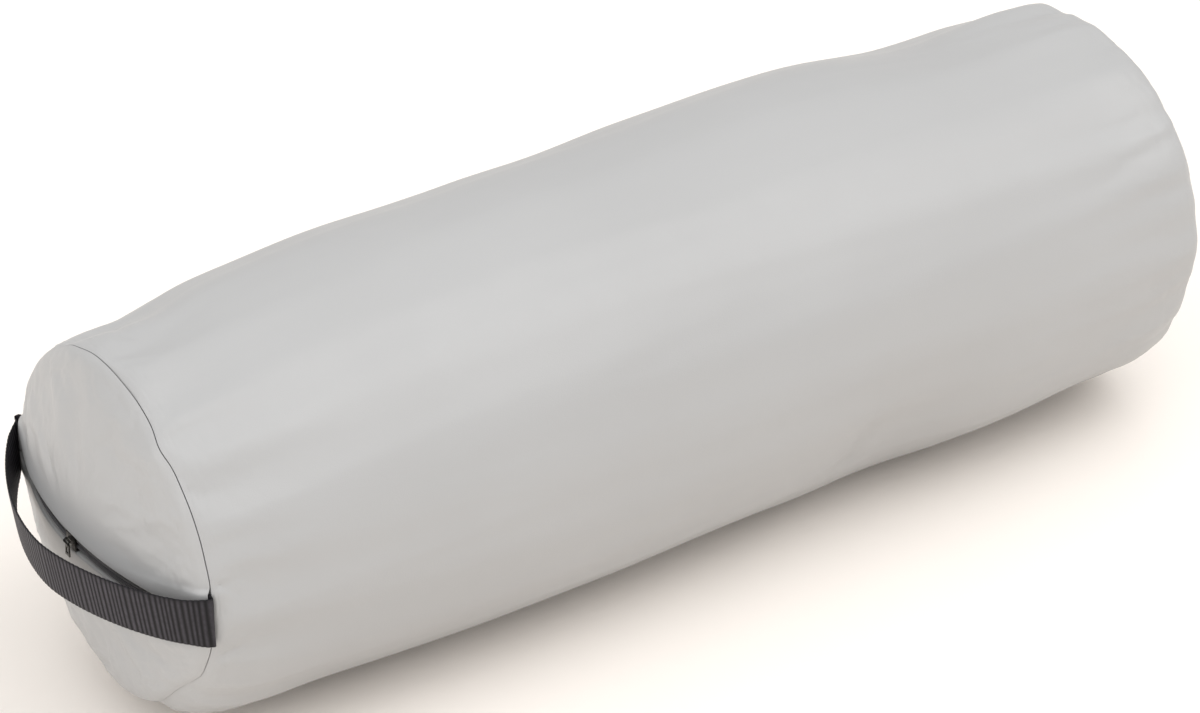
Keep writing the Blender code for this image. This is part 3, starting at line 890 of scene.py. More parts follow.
class Skin:
    """The outside of the stuffed cover, as functions of place."""

    wander_depth: float = 0.0007
    closed_stray: float = 0.0018
    strays: dict = {-1: (Lobe(0.0042, -38.0, 16.0), Lobe(0.0024, -146.0, 6.0)), 1: (Lobe(0.0034, -122.0, 42.0),)}
    rim_waves: float = 0.0005
    rim_lobes: tuple = (Lobe(-0.0066, -46.0, 19.0), Lobe(0.0024, 170.0, 17.0))
    rim_webbing: float = 0.0009
    webbing_half_turn: float = 8.6
    webbing_clear_turn: float = 11.0
    gather: float = 0.00055
    gather_reach: float = 0.009
    gather_turn: float = 0.7
    wide_gather: float = 0.0011
    wide_gather_reach: float = 0.028
    gather_start: float = 0.002
    zip_plump: float = 0.0032
    low_plump: Lobe = Lobe(0.0030, -8.0, 38.0)
    closed_plump: float = 0.0009
    plump_start: float = 0.0028
    plump_reach: float = 0.030
    cap_gather: float = 0.8
    cap_gather_turn: float = 0.35
    stray_power: int = 5
    webbing_power: int = 14
    taut_ease: float = 0.003
    taut_start: float = 0.004
    taut_reach: float = 0.013
    taut_ends: tuple[float, float] = (0.066, 0.088)

    def __init__(self, sizes: CoverSizes, forms: Sequence[Fold | Swell]) -> None:
        """Keeps the sizes and draws the waves of both end seams."""
        self.sizes = sizes
        self.forms = forms
        self.fine = {-1: Ripple(46, 11), 1: Ripple(44, 23)}
        self.broad = {-1: Ripple(17, 5), 1: Ripple(19, 31)}
        self.wander = {-1: Ripple(13, 3), 1: Ripple(11, 17)}

    def handle_share(self, angle: Array) -> Array:
        """1 where the webbing enters the seam, at both sides."""
        turn = np.abs(np.degrees(turned_apart(angle, 0.0)))
        return 1 - smooth_share(np.abs(turn - 90.0), self.webbing_half_turn, self.webbing_clear_turn)

    def seam_shift(self, angle: Array, end: int) -> Array:
        """How far the seam strays out along X from its plane."""
        shift = self.wander_depth * self.wander[end](angle)
        shift = shift * (1 - self.handle_share(angle)) if end < 0 else shift + self.closed_stray
        for lobe in self.strays[end]:
            shift = shift + lobe(angle)
        return shift

    def rim(self, angle: Array, end: int) -> Array:
        """Radius at which the two panels meet, at the bottom of the seam's groove."""
        s = self.sizes
        radius = s.seam_radius - s.groove + self.rim_waves * self.fine[end](angle)
        if end > 0:
            return radius - s.far_roll
        for lobe in self.rim_lobes:
            radius = radius + lobe(angle)
        return radius + self.rim_webbing * self.handle_share(angle)

    def pucker(self, angle: Array, gap: Array, end: int) -> Array:
        """Small gathers beside an end seam, fading away from it."""
        small = self.gather * self.fine[end](angle + self.gather_turn) * np.exp(-gap / self.gather_reach)
        wide = self.wide_gather * self.broad[end](angle) * np.exp(-gap / self.wide_gather_reach)
        return (small + wide) * (1 - np.exp(-gap / self.gather_start))

    def body(self, share: Array, angle: Array) -> Array:
        """Points of the body panel.

        Args:
            share: place along the panel, -1 at the zip end's seam and 1 at the other.
            angle: turn round from straight down.

        Returns:
            Coordinates, with the last axis for X, Y and Z.
        """
        s = self.sizes
        rim = self.rim(angle, -1) * (share < 0) + self.rim(angle, 1) * (share >= 0)
        gap = (1 - np.abs(share)) * s.half_length
        radius = s.seam_radius + (s.body_radius - s.seam_radius) * (1 - np.abs(share) ** s.swell_power)
        drawn = rim + s.groove - s.seam_radius + s.far_roll * (share >= 0)
        radius = radius + drawn * np.exp(-((gap / s.rim_reach) ** 1.5))
        corner = np.clip(1 - gap / s.far_roll, 0.0, 1.0)
        radius = radius - s.far_roll * (1 - np.sqrt(1 - corner**2)) * (share >= 0)
        radius = radius - s.groove * np.exp(-gap / s.groove_width)
        for end in (-1, 1):
            side = (share * end) >= 0
            radius = radius + side * self.pucker(angle, gap, end)
        x = share * s.half_length
        for form in self.forms:
            radius = radius + form.relief(x, angle, s.seam_radius) * (1 - np.exp(-((gap / s.corner_reach) ** 2)))
        middle = 1 - smooth_share(np.abs(share), 0.0, 1.0)
        radius = radius + s.unevenness * self.broad[1](angle + x * s.uneven_twist) * middle
        off_seam = turned_apart(angle, s.long_seam_angle) * radius
        radius = radius - s.long_groove * np.exp(-((off_seam / s.long_groove_width) ** 2))
        fade = np.exp(-gap / s.stray_reach)
        x = x - self.seam_shift(angle, -1) * fade * (share < 0) + self.seam_shift(angle, 1) * fade * (share >= 0)
        return self.settle(x, radius, angle)

    def settle(self, x: Array, radius: Array, angle: Array) -> Array:
        """Turns (x, radius, angle) into points and flattens what would go under the floor."""
        height = above_floor(self.sizes.axis_height - radius * np.cos(angle))
        return np.stack([x + 0 * radius, radius * np.sin(angle), height], axis=-1)

    def cap_offset(self, y: Array, height: Array, end: int) -> Array:
        """How far an end panel stands out from its seam's plane.

        Args:
            y: place across the bolster.
            height: place above its axis.
            end: -1 for the zip end, 1 for the closed end.

        Returns:
            The distance out along X, taken from the seam's own plane.
        """
        s = self.sizes
        angle = np.arctan2(y, -height)
        radius = np.hypot(y, height)
        rim = self.rim(angle, end)
        full = np.clip(radius / rim, 0.0, 1.0) * s.seam_radius
        dome = np.sqrt(s.dome_radius**2 - full**2) + s.dome_centre - s.half_length
        gap = np.maximum(rim - radius, 0.0)
        plump = self.zip_plump + self.low_plump(angle) if end < 0 else self.closed_plump
        fullness = plump * (1 - np.exp(-gap / self.plump_start)) * np.exp(-gap / self.plump_reach)
        reach = np.clip(radius / rim, 0.0, 1.0)
        stray = self.seam_shift(angle, end) * reach**self.stray_power
        waves = self.pucker(angle + self.cap_gather_turn, gap, end) * self.cap_gather
        if end < 0:
            stray = stray + s.webbing_room * self.handle_share(angle) * reach**self.webbing_power
            loose = 1 - self.taut_share(y, height + s.zip_drop)
            fullness, waves = fullness * loose, waves * loose
        return dome + fullness + stray + waves

    def taut_share(self, y: Array, above: Array) -> Array:
        """1 where the zip draws the panel below it flat, by height above the zip's line."""
        below = np.exp(-((np.minimum(above + self.taut_start, 0) / self.taut_reach) ** 2))
        under = 1 - smooth_share(above, -self.taut_start, self.taut_ease)
        return below * under * (1 - smooth_share(np.abs(y), *self.taut_ends))


# Cloth


@dataclass(frozen=True)
class Stuffing:
    """Swells a skin with cloth that is sewn at its edges, and measures how it creases."""

    pressure: float = 4.0
    frames: int = 20
    slack: float = 0.030
    slack_reach: float = 0.030
    most: float = 0.0035

    def swell(self, name: str, start: Array, rest: Array, faces: Sequence, held: Array) -> Array:
        """Runs the cloth.

        Args:
            name: a name for the passing object.
            start: points at the start.
            rest: points that give the cloth its unstretched lengths.
            faces: corner indices.
            held: how firmly each point is held, from 0 to 1.

        Returns:
            How far each point moved.
        """
        mesh = bpy.data.meshes.new(name)
        mesh.from_pydata([tuple(point) for point in start], [], [tuple(face) for face in faces])
        cloth = linked(name, mesh)
        cloth.shape_key_add(name="start")
        key = cloth.shape_key_add(name="unstretched")
        key.data.foreach_set("co", np.asarray(rest, np.float32).ravel())
        group = cloth.vertex_groups.new(name="sewn")
        for index in np.nonzero(held > 0)[0]:
            group.add([int(index)], float(held[index]), "REPLACE")
        modifier = cloth.modifiers.new("Cloth", "CLOTH")
        settings = modifier.settings
        settings.quality = 5
        settings.mass = 0.4
        settings.air_damping = 4.0
        settings.tension_stiffness = 30.0
        settings.compression_stiffness = 30.0
        settings.shear_stiffness = 12.0
        settings.bending_stiffness = 1.2
        settings.use_pressure = True
        settings.uniform_pressure_force = self.pressure
        settings.vertex_group_mass = "sewn"
        settings.rest_shape_key = key
        settings.effector_weights.gravity = 0.0
        modifier.collision_settings.use_collision = False
        scene = bpy.context.scene
        for number in range(1, self.frames + 1):
            scene.frame_set(number)
        graph = bpy.context.evaluated_depsgraph_get()
        moved = cloth.evaluated_get(graph).to_mesh()
        out = np.empty(len(moved.vertices) * 3, np.float32)
        moved.vertices.foreach_get("co", out)
        cloth.evaluated_get(graph).to_mesh_clear()
        bpy.data.objects.remove(cloth)
        bpy.data.meshes.remove(mesh)
        scene.frame_set(1)
        return out.reshape(-1, 3).astype(float) - start


class CreaseField:
    """Creases that the cloth gave a ring-shaped grid, read back at any place."""

    def __init__(self, moves: Array, most: float) -> None:
        """Takes away each ring's own average and limits the rest."""
        moves = moves - moves.mean(axis=1, keepdims=True)
        self.moves = np.clip(moves, -most, most)

    def __call__(self, row: Array, turn: Array) -> Array:
        """The crease's height.

        Args:
            row: place in the slow direction, from 0 to 1.
            turn: place round the ring, from 0 to 1.

        Returns:
            The height at each place.
        """
        rows, columns = self.moves.shape
        i = np.clip(row, 0.0, 1.0) * (rows - 1)
        j = (turn % 1.0) * columns
        i0 = np.minimum(i.astype(int), rows - 2)
        j0 = j.astype(int) % columns
        j1 = (j0 + 1) % columns
        a = i - i0
        b = j - np.floor(j)
        low = self.moves[i0, j0] * (1 - b) + self.moves[i0, j1] * b
        high = self.moves[i0 + 1, j0] * (1 - b) + self.moves[i0 + 1, j1] * b
        return low * (1 - a) + high * a


def clustered(count: int, crowd: float) -> Array:
    """Values from -1 to 1, closer together towards both ends the more the crowd is."""
    even = np.linspace(-1.0, 1.0, count)
    return np.tanh(crowd * even) / math.tanh(crowd)


# Cover


class BodyPanel:
    """The tube of the cover between its two end seams."""

    stations: int = 176
    sides: int = 300
    crowd: float = 2.2
    calm: float = 0.08
    crease_reach: float = 0.030
    cloth_stations: int = 90
    cloth_sides: int = 168
    start_noise: float = 0.0003
    seam_lines: int = 3
    seam_step: float = 0.0007
    seam_clear: float = 0.03

    def __init__(self, skin: Skin, wardrobe: Wardrobe, stuffing: Stuffing) -> None:
        """Keeps what it is made with."""
        self.skin = skin
        self.wardrobe = wardrobe
        self.stuffing = stuffing

    def creases(self) -> CreaseField | None:
        """Swells the tube as cloth."""
        share = clustered(self.cloth_stations, self.crowd)[:, None]
        turn = ring_turns(self.cloth_sides)[None, :]
        radius = self.skin.sizes.seam_radius
        grow = (self.skin.sizes.body_radius - radius) * (1 - np.abs(share) ** self.skin.sizes.swell_power)
        radius = radius + grow + 0 * turn
        noise = np.random.default_rng(41).uniform(-1.0, 1.0, radius.shape)
        gap = (1 - np.abs(share)) * self.skin.sizes.half_length
        slack = 1 + self.stuffing.slack * np.exp(-gap / self.stuffing.slack_reach)
        start = radius + self.start_noise * noise * (gap > 0)
        tube = [share * self.skin.sizes.half_length + 0 * turn, np.sin(turn) + 0 * share, -np.cos(turn) + 0 * share]
        points = np.stack([tube[0], start * tube[1], start * tube[2]], axis=-1)
        rest = np.stack([tube[0], radius * slack * tube[1], radius * slack * tube[2]], axis=-1)
        held = np.zeros(radius.shape)
        held[[0, -1], :] = 1.0
        faces = grid_faces(self.cloth_stations, self.cloth_sides, True)
        faces = [tuple(reversed(face)) for face in faces]
        moves = self.stuffing.swell("body_cloth", points.reshape(-1, 3), rest.reshape(-1, 3), faces, held.ravel())
        moves = moves.reshape(points.shape)
        outward = moves[..., 1] * tube[1] + moves[..., 2] * tube[2]
        return CreaseField(outward, self.stuffing.most)

    def build(self) -> bpy.types.Object:
        """Makes the panel, its edges turned in at both seams, and dresses it."""
        sizes = self.skin.sizes
        creases = self.creases()
        share = clustered(self.stations, self.crowd)
        turn = ring_turns(self.sides)
        lines = np.arange(-self.seam_lines, self.seam_lines + 1)
        seam = sizes.long_seam_angle + lines * self.seam_step / sizes.seam_radius
        clear = np.abs(turned_apart(turn, sizes.long_seam_angle)) > self.seam_clear
        turn = np.sort(np.concatenate([turn[clear], seam]))
        grid, angle = np.meshgrid(share, turn, indexing="ij")
        points = self.skin.body(grid, angle)
        if creases is not None:
            row = np.linspace(0.0, 1.0, self.stations)[:, None] + 0 * angle
            gap = (1 - np.abs(grid)) * sizes.half_length
            strength = self.calm + (1 - self.calm) * np.exp(-gap / self.crease_reach)
            lift = creases(row, angle / math.tau) * strength
            points[..., 1] += lift * np.sin(angle)
            points[..., 2] += lift * -np.cos(angle)
            points[..., 2] = np.maximum(points[..., 2], 0.0)
        self.outer = points
        rows = [self.flange(points[0], turn, 1), *points, self.flange(points[-1], turn, -1)]
        cloud = np.array(rows)
        faces = grid_faces(cloud.shape[0], cloud.shape[1], True)
        axis = Vector((0.0, 0.0, sizes.axis_height))
        panel = make_piece("cover_body", cloud.reshape(-1, 3), faces, axis)
        thicken(panel, sizes.vinyl)
        self.wardrobe.dress(panel, "cover")
        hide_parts("cover_body_panel")
        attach(panel, "root")
        return panel

    def flange(self, edge: Array, turn: Array, inward: int) -> Array:
        """The allowance's inner edge behind a seam, one point for each point of the seam."""
        sizes = self.skin.sizes
        radius = np.full(len(turn), sizes.flange_radius)
        x = edge[:, 0] + inward * sizes.seam_overlap
        return self.skin.settle(x, radius, turn)


class EndPanels:
    """The domed end panels: a plain disc at one end, two halves about the zip at the other."""

    rings: int = 64
    sides: int = 288
    columns: int = 260
    rows: int = 90
    lip: float = 0.0046
    shut_lip: float = 0.0004
    lip_open_to: float = 0.0845
    lip_shut_from: float = 0.0920
    slack_lip: float = 0.0017
    upper_bulge: float = 0.0013
    lower_bulge: float = 0.0006
    bulge_reach: float = 0.008
    roll: float = 0.0013
    lip_depth: float = 0.0021
    slack_middle: float = 0.044
    slack_half: float = 0.026
    bulge_ends: tuple[float, float] = (0.060, 0.088)
    roll_ends: float = 0.006
    lip_ends: float = 0.012
    hem: float = 0.0060
    half_wall: float = 0.8
    cloth_rings: int = 34
    cloth_sides: int = 132
    cloth_hole: float = 0.02
    hole_hold: float = 0.5
    start_noise: float = 0.0002
    slack_share: float = 0.8
    slack_reach: float = 0.02
    rest_rise: float = 1.05
    crease_share: float = 0.4
    crease_from_zip: tuple[float, float] = (0.006, 0.030)
    crease_from_middle: tuple[float, float] = (0.15, 0.5)

    def __init__(self, skin: Skin, wardrobe: Wardrobe, stuffing: Stuffing) -> None:
        """Keeps what they are made with."""
        self.skin = skin
        self.wardrobe = wardrobe
        self.stuffing = stuffing

    def creases(self, end: int) -> CreaseField | None:
        """Swells one disc as cloth."""
        rings, sides = self.cloth_rings, self.cloth_sides
        s = self.skin.sizes
        reach = np.linspace(self.cloth_hole, 1.0, rings)[:, None]
        turn = ring_turns(sides)[None, :]
        radius = reach * s.seam_radius + 0 * turn
        out = np.sqrt(s.dome_radius**2 - radius**2) + s.dome_centre - s.half_length
        noise = np.random.default_rng(67 + end).uniform(-1.0, 1.0, radius.shape) * (reach < 1)
        gap = (1 - reach) * s.seam_radius
        slack = 1 + self.stuffing.slack * self.slack_share * np.exp(-gap / self.slack_reach)
        across, down = np.sin(turn), -np.cos(turn)
        points = np.stack([out + self.start_noise * noise, radius * across, radius * down], axis=-1)
        wide = radius * slack
        rest = np.stack([out * self.rest_rise, wide * across, wide * down], axis=-1)
        held = np.zeros(radius.shape)
        held[-1, :] = 1.0
        held[0, :] = self.hole_hold
        faces = grid_faces(rings, sides, True)
        start, rest = points.reshape(-1, 3), rest.reshape(-1, 3)
        moves = self.stuffing.swell(f"end_cloth_{end + 1}", start, rest, faces, held.ravel())
        return CreaseField(moves.reshape(points.shape)[..., 0], self.stuffing.most * self.crease_share)

    def face(self, y: Array, height: Array, end: int, creases: CreaseField | None) -> Array:
        """Distance out of the seam's plane, with the cloth's creases."""
        out = self.skin.cap_offset(y, height, end)
        if creases is None:
            return out
        angle = np.arctan2(y, -height)
        rim = self.skin.rim(angle, end)
        reach = np.clip(np.hypot(y, height) / rim, 0.0, 1.0)
        lift = creases((reach - self.cloth_hole) / (1 - self.cloth_hole), angle / math.tau)
        if end < 0:
            lift = lift * smooth_share(np.abs(height + self.skin.sizes.zip_drop), *self.crease_from_zip)
        return out + lift * smooth_share(reach, *self.crease_from_middle)

    def place(self, y: Array, height: Array, out: Array, end: int) -> Array:
        """Coordinates of a place on an end panel, kept above the floor."""
        s = self.skin.sizes
        x = end * (s.half_length + s.seam_gap + out)
        return np.stack([x, y, above_floor(s.axis_height + height)], axis=-1)

    def build_closed(self) -> bpy.types.Object:
        """Makes the plain end panel."""
        s = self.skin.sizes
        creases = self.creases(1)
        reach = 1 - (1 - np.linspace(0.0, 1.0, self.rings)) ** 1.5
        turn = ring_turns(self.sides)
        grid, angle = np.meshgrid(reach, turn, indexing="ij")
        radius = grid * self.skin.rim(angle, 1)
        y, height = radius * np.sin(angle), -radius * np.cos(angle)
        points = self.place(y, height, self.face(y, height, 1, creases), 1)
        inner = self.allowance(points[-1], turn, 1)
        cloud = np.concatenate([points, inner[None]])
        faces = grid_faces(cloud.shape[0], cloud.shape[1], True)
        panel = make_piece("end_cap_closed", cloud.reshape(-1, 3), faces, Vector((0, 0, s.axis_height)))
        thicken(panel, s.vinyl)
        self.finish(panel, "end_panel_closed")
        return panel

    def allowance(self, rim: Array, turn: Array, end: int) -> Array:
        """The inner edge of the allowance that is turned in behind the seam."""
        sizes = self.skin.sizes
        return sizes.about_axis(rim[:, 0] - end * sizes.seam_overlap, sizes.flange_radius, turn)

    def lip_line(self, y: Array, sign: int) -> Array:
        """Each lip's distance from the zip's line, shut before the seam and slack below the open half."""
        shut = smooth_share(np.abs(y), self.lip_open_to, self.lip_shut_from)
        slack = self.slack_lip * np.exp(-(((y - self.slack_middle) / self.slack_half) ** 2)) if sign < 0 else 0.0
        return (self.lip + slack) * (1 - shut) + self.shut_lip * shut

    def build_half(self, name: str, sign: int, creases: CreaseField | None) -> bpy.types.Object:
        """Makes half of the zip's panel.

        Args:
            name: the solid that it stands for.
            sign: 1 above the zip, -1 below it.
            creases: the disc's creases.

        Returns:
            The finished half.
        """
        s = self.skin.sizes
        arc = np.linspace(0.0, math.pi, self.columns)
        angle = (-math.pi / 2 - arc) if sign > 0 else (-math.pi / 2 + arc)
        rim = self.skin.rim(angle, -1)
        y_rim, top = rim * np.sin(angle), -rim * np.cos(angle)
        start = -s.zip_drop + sign * self.lip_line(y_rim, sign)
        top = np.where(sign * (top - start) < 0, start, top)
        across = 0.5 - 0.5 * np.cos(np.linspace(0.0, math.pi, self.rows))
        height = start[None, :] + across[:, None] * (top - start)[None, :]
        y = np.repeat(y_rim[None, :], self.rows, axis=0)
        out = self.face(y, height, -1, creases)
        from_lip = sign * (height - start[None, :])
        centre = 1 - smooth_share(np.abs(y), *self.bulge_ends)
        bulge = (self.upper_bulge if sign > 0 else self.lower_bulge) * centre
        out = out + bulge * np.exp(-((from_lip / self.bulge_reach) ** 2))
        rolled = np.clip(1 - from_lip / self.roll, 0.0, 1.0)
        from_seam = s.seam_radius - np.abs(y)
        out = out - self.roll * (1 - np.sqrt(1 - rolled**2)) * smooth_share(from_seam, 0.0, self.roll_ends)
        points = self.place(y, height, out, -1)
        depth = self.lip_depth * smooth_share(from_seam[0], 0.0, self.lip_ends)
        deep = self.skin.cap_offset(y[0], height[0], -1) - depth
        lip_in = self.place(y[0], height[0] + sign * 0.0002, deep, -1)
        hem = self.place(y[0], height[0] + sign * self.hem * centre[0], deep - 0.0002, -1)
        inner = self.allowance(points[-1], angle, -1)
        cloud = np.concatenate([hem[None], lip_in[None], points, inner[None]])
        faces = grid_faces(cloud.shape[0], cloud.shape[1], False)
        panel = make_piece(name.replace("panel", "cap"), cloud.reshape(-1, 3), faces, Vector((0, 0, s.axis_height)))
        thicken(panel, s.vinyl * self.half_wall)
        self.finish(panel, name)
        return panel

    def finish(self, panel: bpy.types.Object, node: str) -> None:
        """Dresses a panel, hides the solid that it stands in for and attaches it to the root body."""
        self.wardrobe.dress(panel, "cover")
        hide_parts(node)
        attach(panel, "root")

    def build(self) -> None:
        """Makes all three."""
        self.build_closed()
        creases = self.creases(-1)
        self.build_half("end_panel_zip_upper", 1, creases)
        self.build_half("end_panel_zip_lower", -1, creases)


# Zip


@dataclass(frozen=True)
class ZipSizes:
    """Sizes of the zip, measured from the middle of its chain."""

    half_length: float = 0.0780
    tape_half_length: float = 0.0840
    tape_width: float = 0.0133
    tape_depth: float = 0.0023
    tape_thickness: float = 0.0006
    coil_outer: float = 0.0031
    coil_open: float = 0.0007
    coil_shut: float = 0.00048
    coil_height: float = 0.0020
    pitch: float = 0.00125
    wire: float = 0.00030
    slider_y: float = 0.0060
    part_up: float = 0.0026
    part_down: float = 0.0008
    part_end: float = 0.0660
    part_power: float = 0.8
    turn_lean: float = 0.16
    stitch_line: float = 0.0087
    stitch: float = 0.0030
    stitch_spacing: float = 1.12
    selvedge: float = 0.0003


class Zip:
    """Tapes, coils, stops, slider and pull, with the threads that sew the tapes in."""

    def __init__(self, cover: CoverSizes, wardrobe: Wardrobe) -> None:
        """Keeps what it is made with."""
        self.cover = cover
        self.wardrobe = wardrobe
        self.sizes = ZipSizes()
        materials = wardrobe.materials
        self.turns = CopyTree(CopyShape.COIL_TURN, materials["zip_coil"])
        self.stitches = CopyTree(CopyShape.STITCH, materials["thread"])

    def on_dome(self, y: Array, z: Array, depth: Array) -> Array:
        """Points on or under the dome, by y, by z from the zip's line, and by depth."""
        radius = self.cover.dome_radius
        height = z - self.cover.zip_drop
        scale = 1 - depth / radius
        out = np.sqrt(radius**2 - y**2 - height**2)
        x = -self.cover.dome_centre - scale * out
        return np.stack([x, scale * y, self.cover.axis_height + scale * height], axis=-1)

    def outward(self, places: Array) -> Array:
        """The way straight out of the dome at each place."""
        normal = places - np.array([-self.cover.dome_centre, 0.0, self.cover.axis_height])
        return normal / np.linalg.norm(normal, axis=1)[:, None]

    def parting(self, y: Array, sign: int) -> Array:
        """How far one side of the open half is drawn away from the zip's line."""
        s = self.sizes
        share = np.clip((y - s.slider_y) / (s.part_end - s.slider_y), 0.0, 1.0)
        return (s.part_up if sign > 0 else s.part_down) * np.sin(math.pi * share) ** s.part_power

    def build_tape(self, side: str, sign: int) -> bpy.types.Object:
        """One tape with a slightly rolled selvedge."""
        s = self.sizes
        y = np.linspace(-s.tape_half_length, s.tape_half_length, 161)
        inner, outer = s.coil_open, s.coil_open + s.tape_width
        z = np.array([inner, inner, 0.002, 0.004, 0.006, 0.009, outer - 0.0004, outer])
        top = np.array([s.selvedge, *[0.0] * 6, s.selvedge])
        loop = [(a, s.tape_depth + b) for a, b in zip(z, top)]
        loop += [(a, s.tape_depth + s.tape_thickness - b) for a, b in zip(z[::-1], top[::-1])]
        part = self.parting(y, sign)
        rows = []
        for a, b in loop:
            drawn = a + part * (outer - a) / (outer - inner)
            rows.append(self.on_dome(y, sign * drawn, np.full(y.shape, b)))
        cloud = np.stack(rows, axis=1)
        faces = grid_faces(len(y), len(loop), True)
        count = len(loop)
        faces.append(tuple(range(count)))
        faces.append(tuple((len(y) - 1) * count + k for k in range(count)))
        middle = Vector(cloud.reshape(-1, 3).mean(axis=0))
        tape = make_piece(f"tape_{side}", cloud.reshape(-1, 3), faces, middle)
        self.wardrobe.dress(tape, "zip_tape")
        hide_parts(f"zip_tape_{side}")
        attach(tape, "root")
        return tape

    def build_coil(self, side: str, sign: int) -> bpy.types.Object:
        """One coil: wide turns where the zip is shut, narrower ones where it is open."""
        s = self.sizes
        offset = 0.0 if sign > 0 else s.pitch / 2
        y = np.arange(-s.half_length + offset + s.wire, s.half_length, s.pitch)
        rows = []
        for shut in (True, False):
            part = y[(y < s.slider_y) == shut]
            inner = s.coil_shut if shut else s.coil_open
            width = s.coil_outer - inner
            middle = sign * (inner + width / 2 + self.parting(part, sign))
            places = self.on_dome(part, middle, np.full(part.shape, s.coil_height / 2))
            normal = self.outward(places)
            along = np.cross(normal, [0.0, 0.0, 1.0]) + np.array([0.0, 0.0, s.turn_lean * sign])
            sizes = {"Width": width - 2 * s.wire, "Depth": s.coil_height - 2 * s.wire, "Wire": s.wire}
            rows.append(row_of(f"turns_{side}_{shut}", self.turns, places, along, normal, sizes))
        coil = join_meshes(f"coil_{side}", rows)
        self.wardrobe.dress(coil, "zip_coil")
        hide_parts(f"zip_coil_{side}")
        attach(coil, "root")
        return coil

    def build_thread(self, side: str, sign: int) -> bpy.types.Object:
        """The row of stitches that holds a tape, behind the hem."""
        s = self.sizes
        y = np.arange(-s.half_length, s.half_length, s.stitch * s.stitch_spacing)
        depth = np.full(y.shape, s.tape_depth + s.tape_thickness + 0.0007)
        places = self.on_dome(y, np.full(y.shape, sign * s.stitch_line), depth)
        normal = self.outward(places)
        along = np.cross(normal, [0.0, 0.0, 1.0])
        sizes = {"Length": s.stitch, "Width": 0.0007, "Depth": 0.0006}
        thread = row_of(f"zip_stitches_{side}", self.stitches, places, along, normal, sizes)
        self.wardrobe.dress(thread, "thread")
        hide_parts(f"zip_seam_thread_{side}")
        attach(thread, "root")
        return thread

    def build(self) -> None:
        """Makes every piece of the zip."""
        for side, sign in (("upper", 1), ("lower", -1)):
            self.build_tape(side, sign)
            self.build_coil(side, sign)
            self.build_thread(side, sign)
        hard = (
            ("zip_top_stop_upper", "root", 0.0003),
            ("zip_top_stop_lower", "root", 0.0003),
            ("zip_bottom_stop", "root", 0.0003),
            ("zip_slider", "slider", 0.00018),
            ("zip_pull", "pull", 0.00018),
        )
        for node, body, edge in hard:
            piece = softened_copy(node, node.replace("zip", "nickel"), edge)
            self.wardrobe.dress(piece, "zip_metal")
            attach(piece, body)


# Handle


@dataclass(frozen=True)
class Bow:
    """One half of the handle's curve, from its sewn end to its middle."""

    chord: float
    power: float
    roundness: float
    droop: float


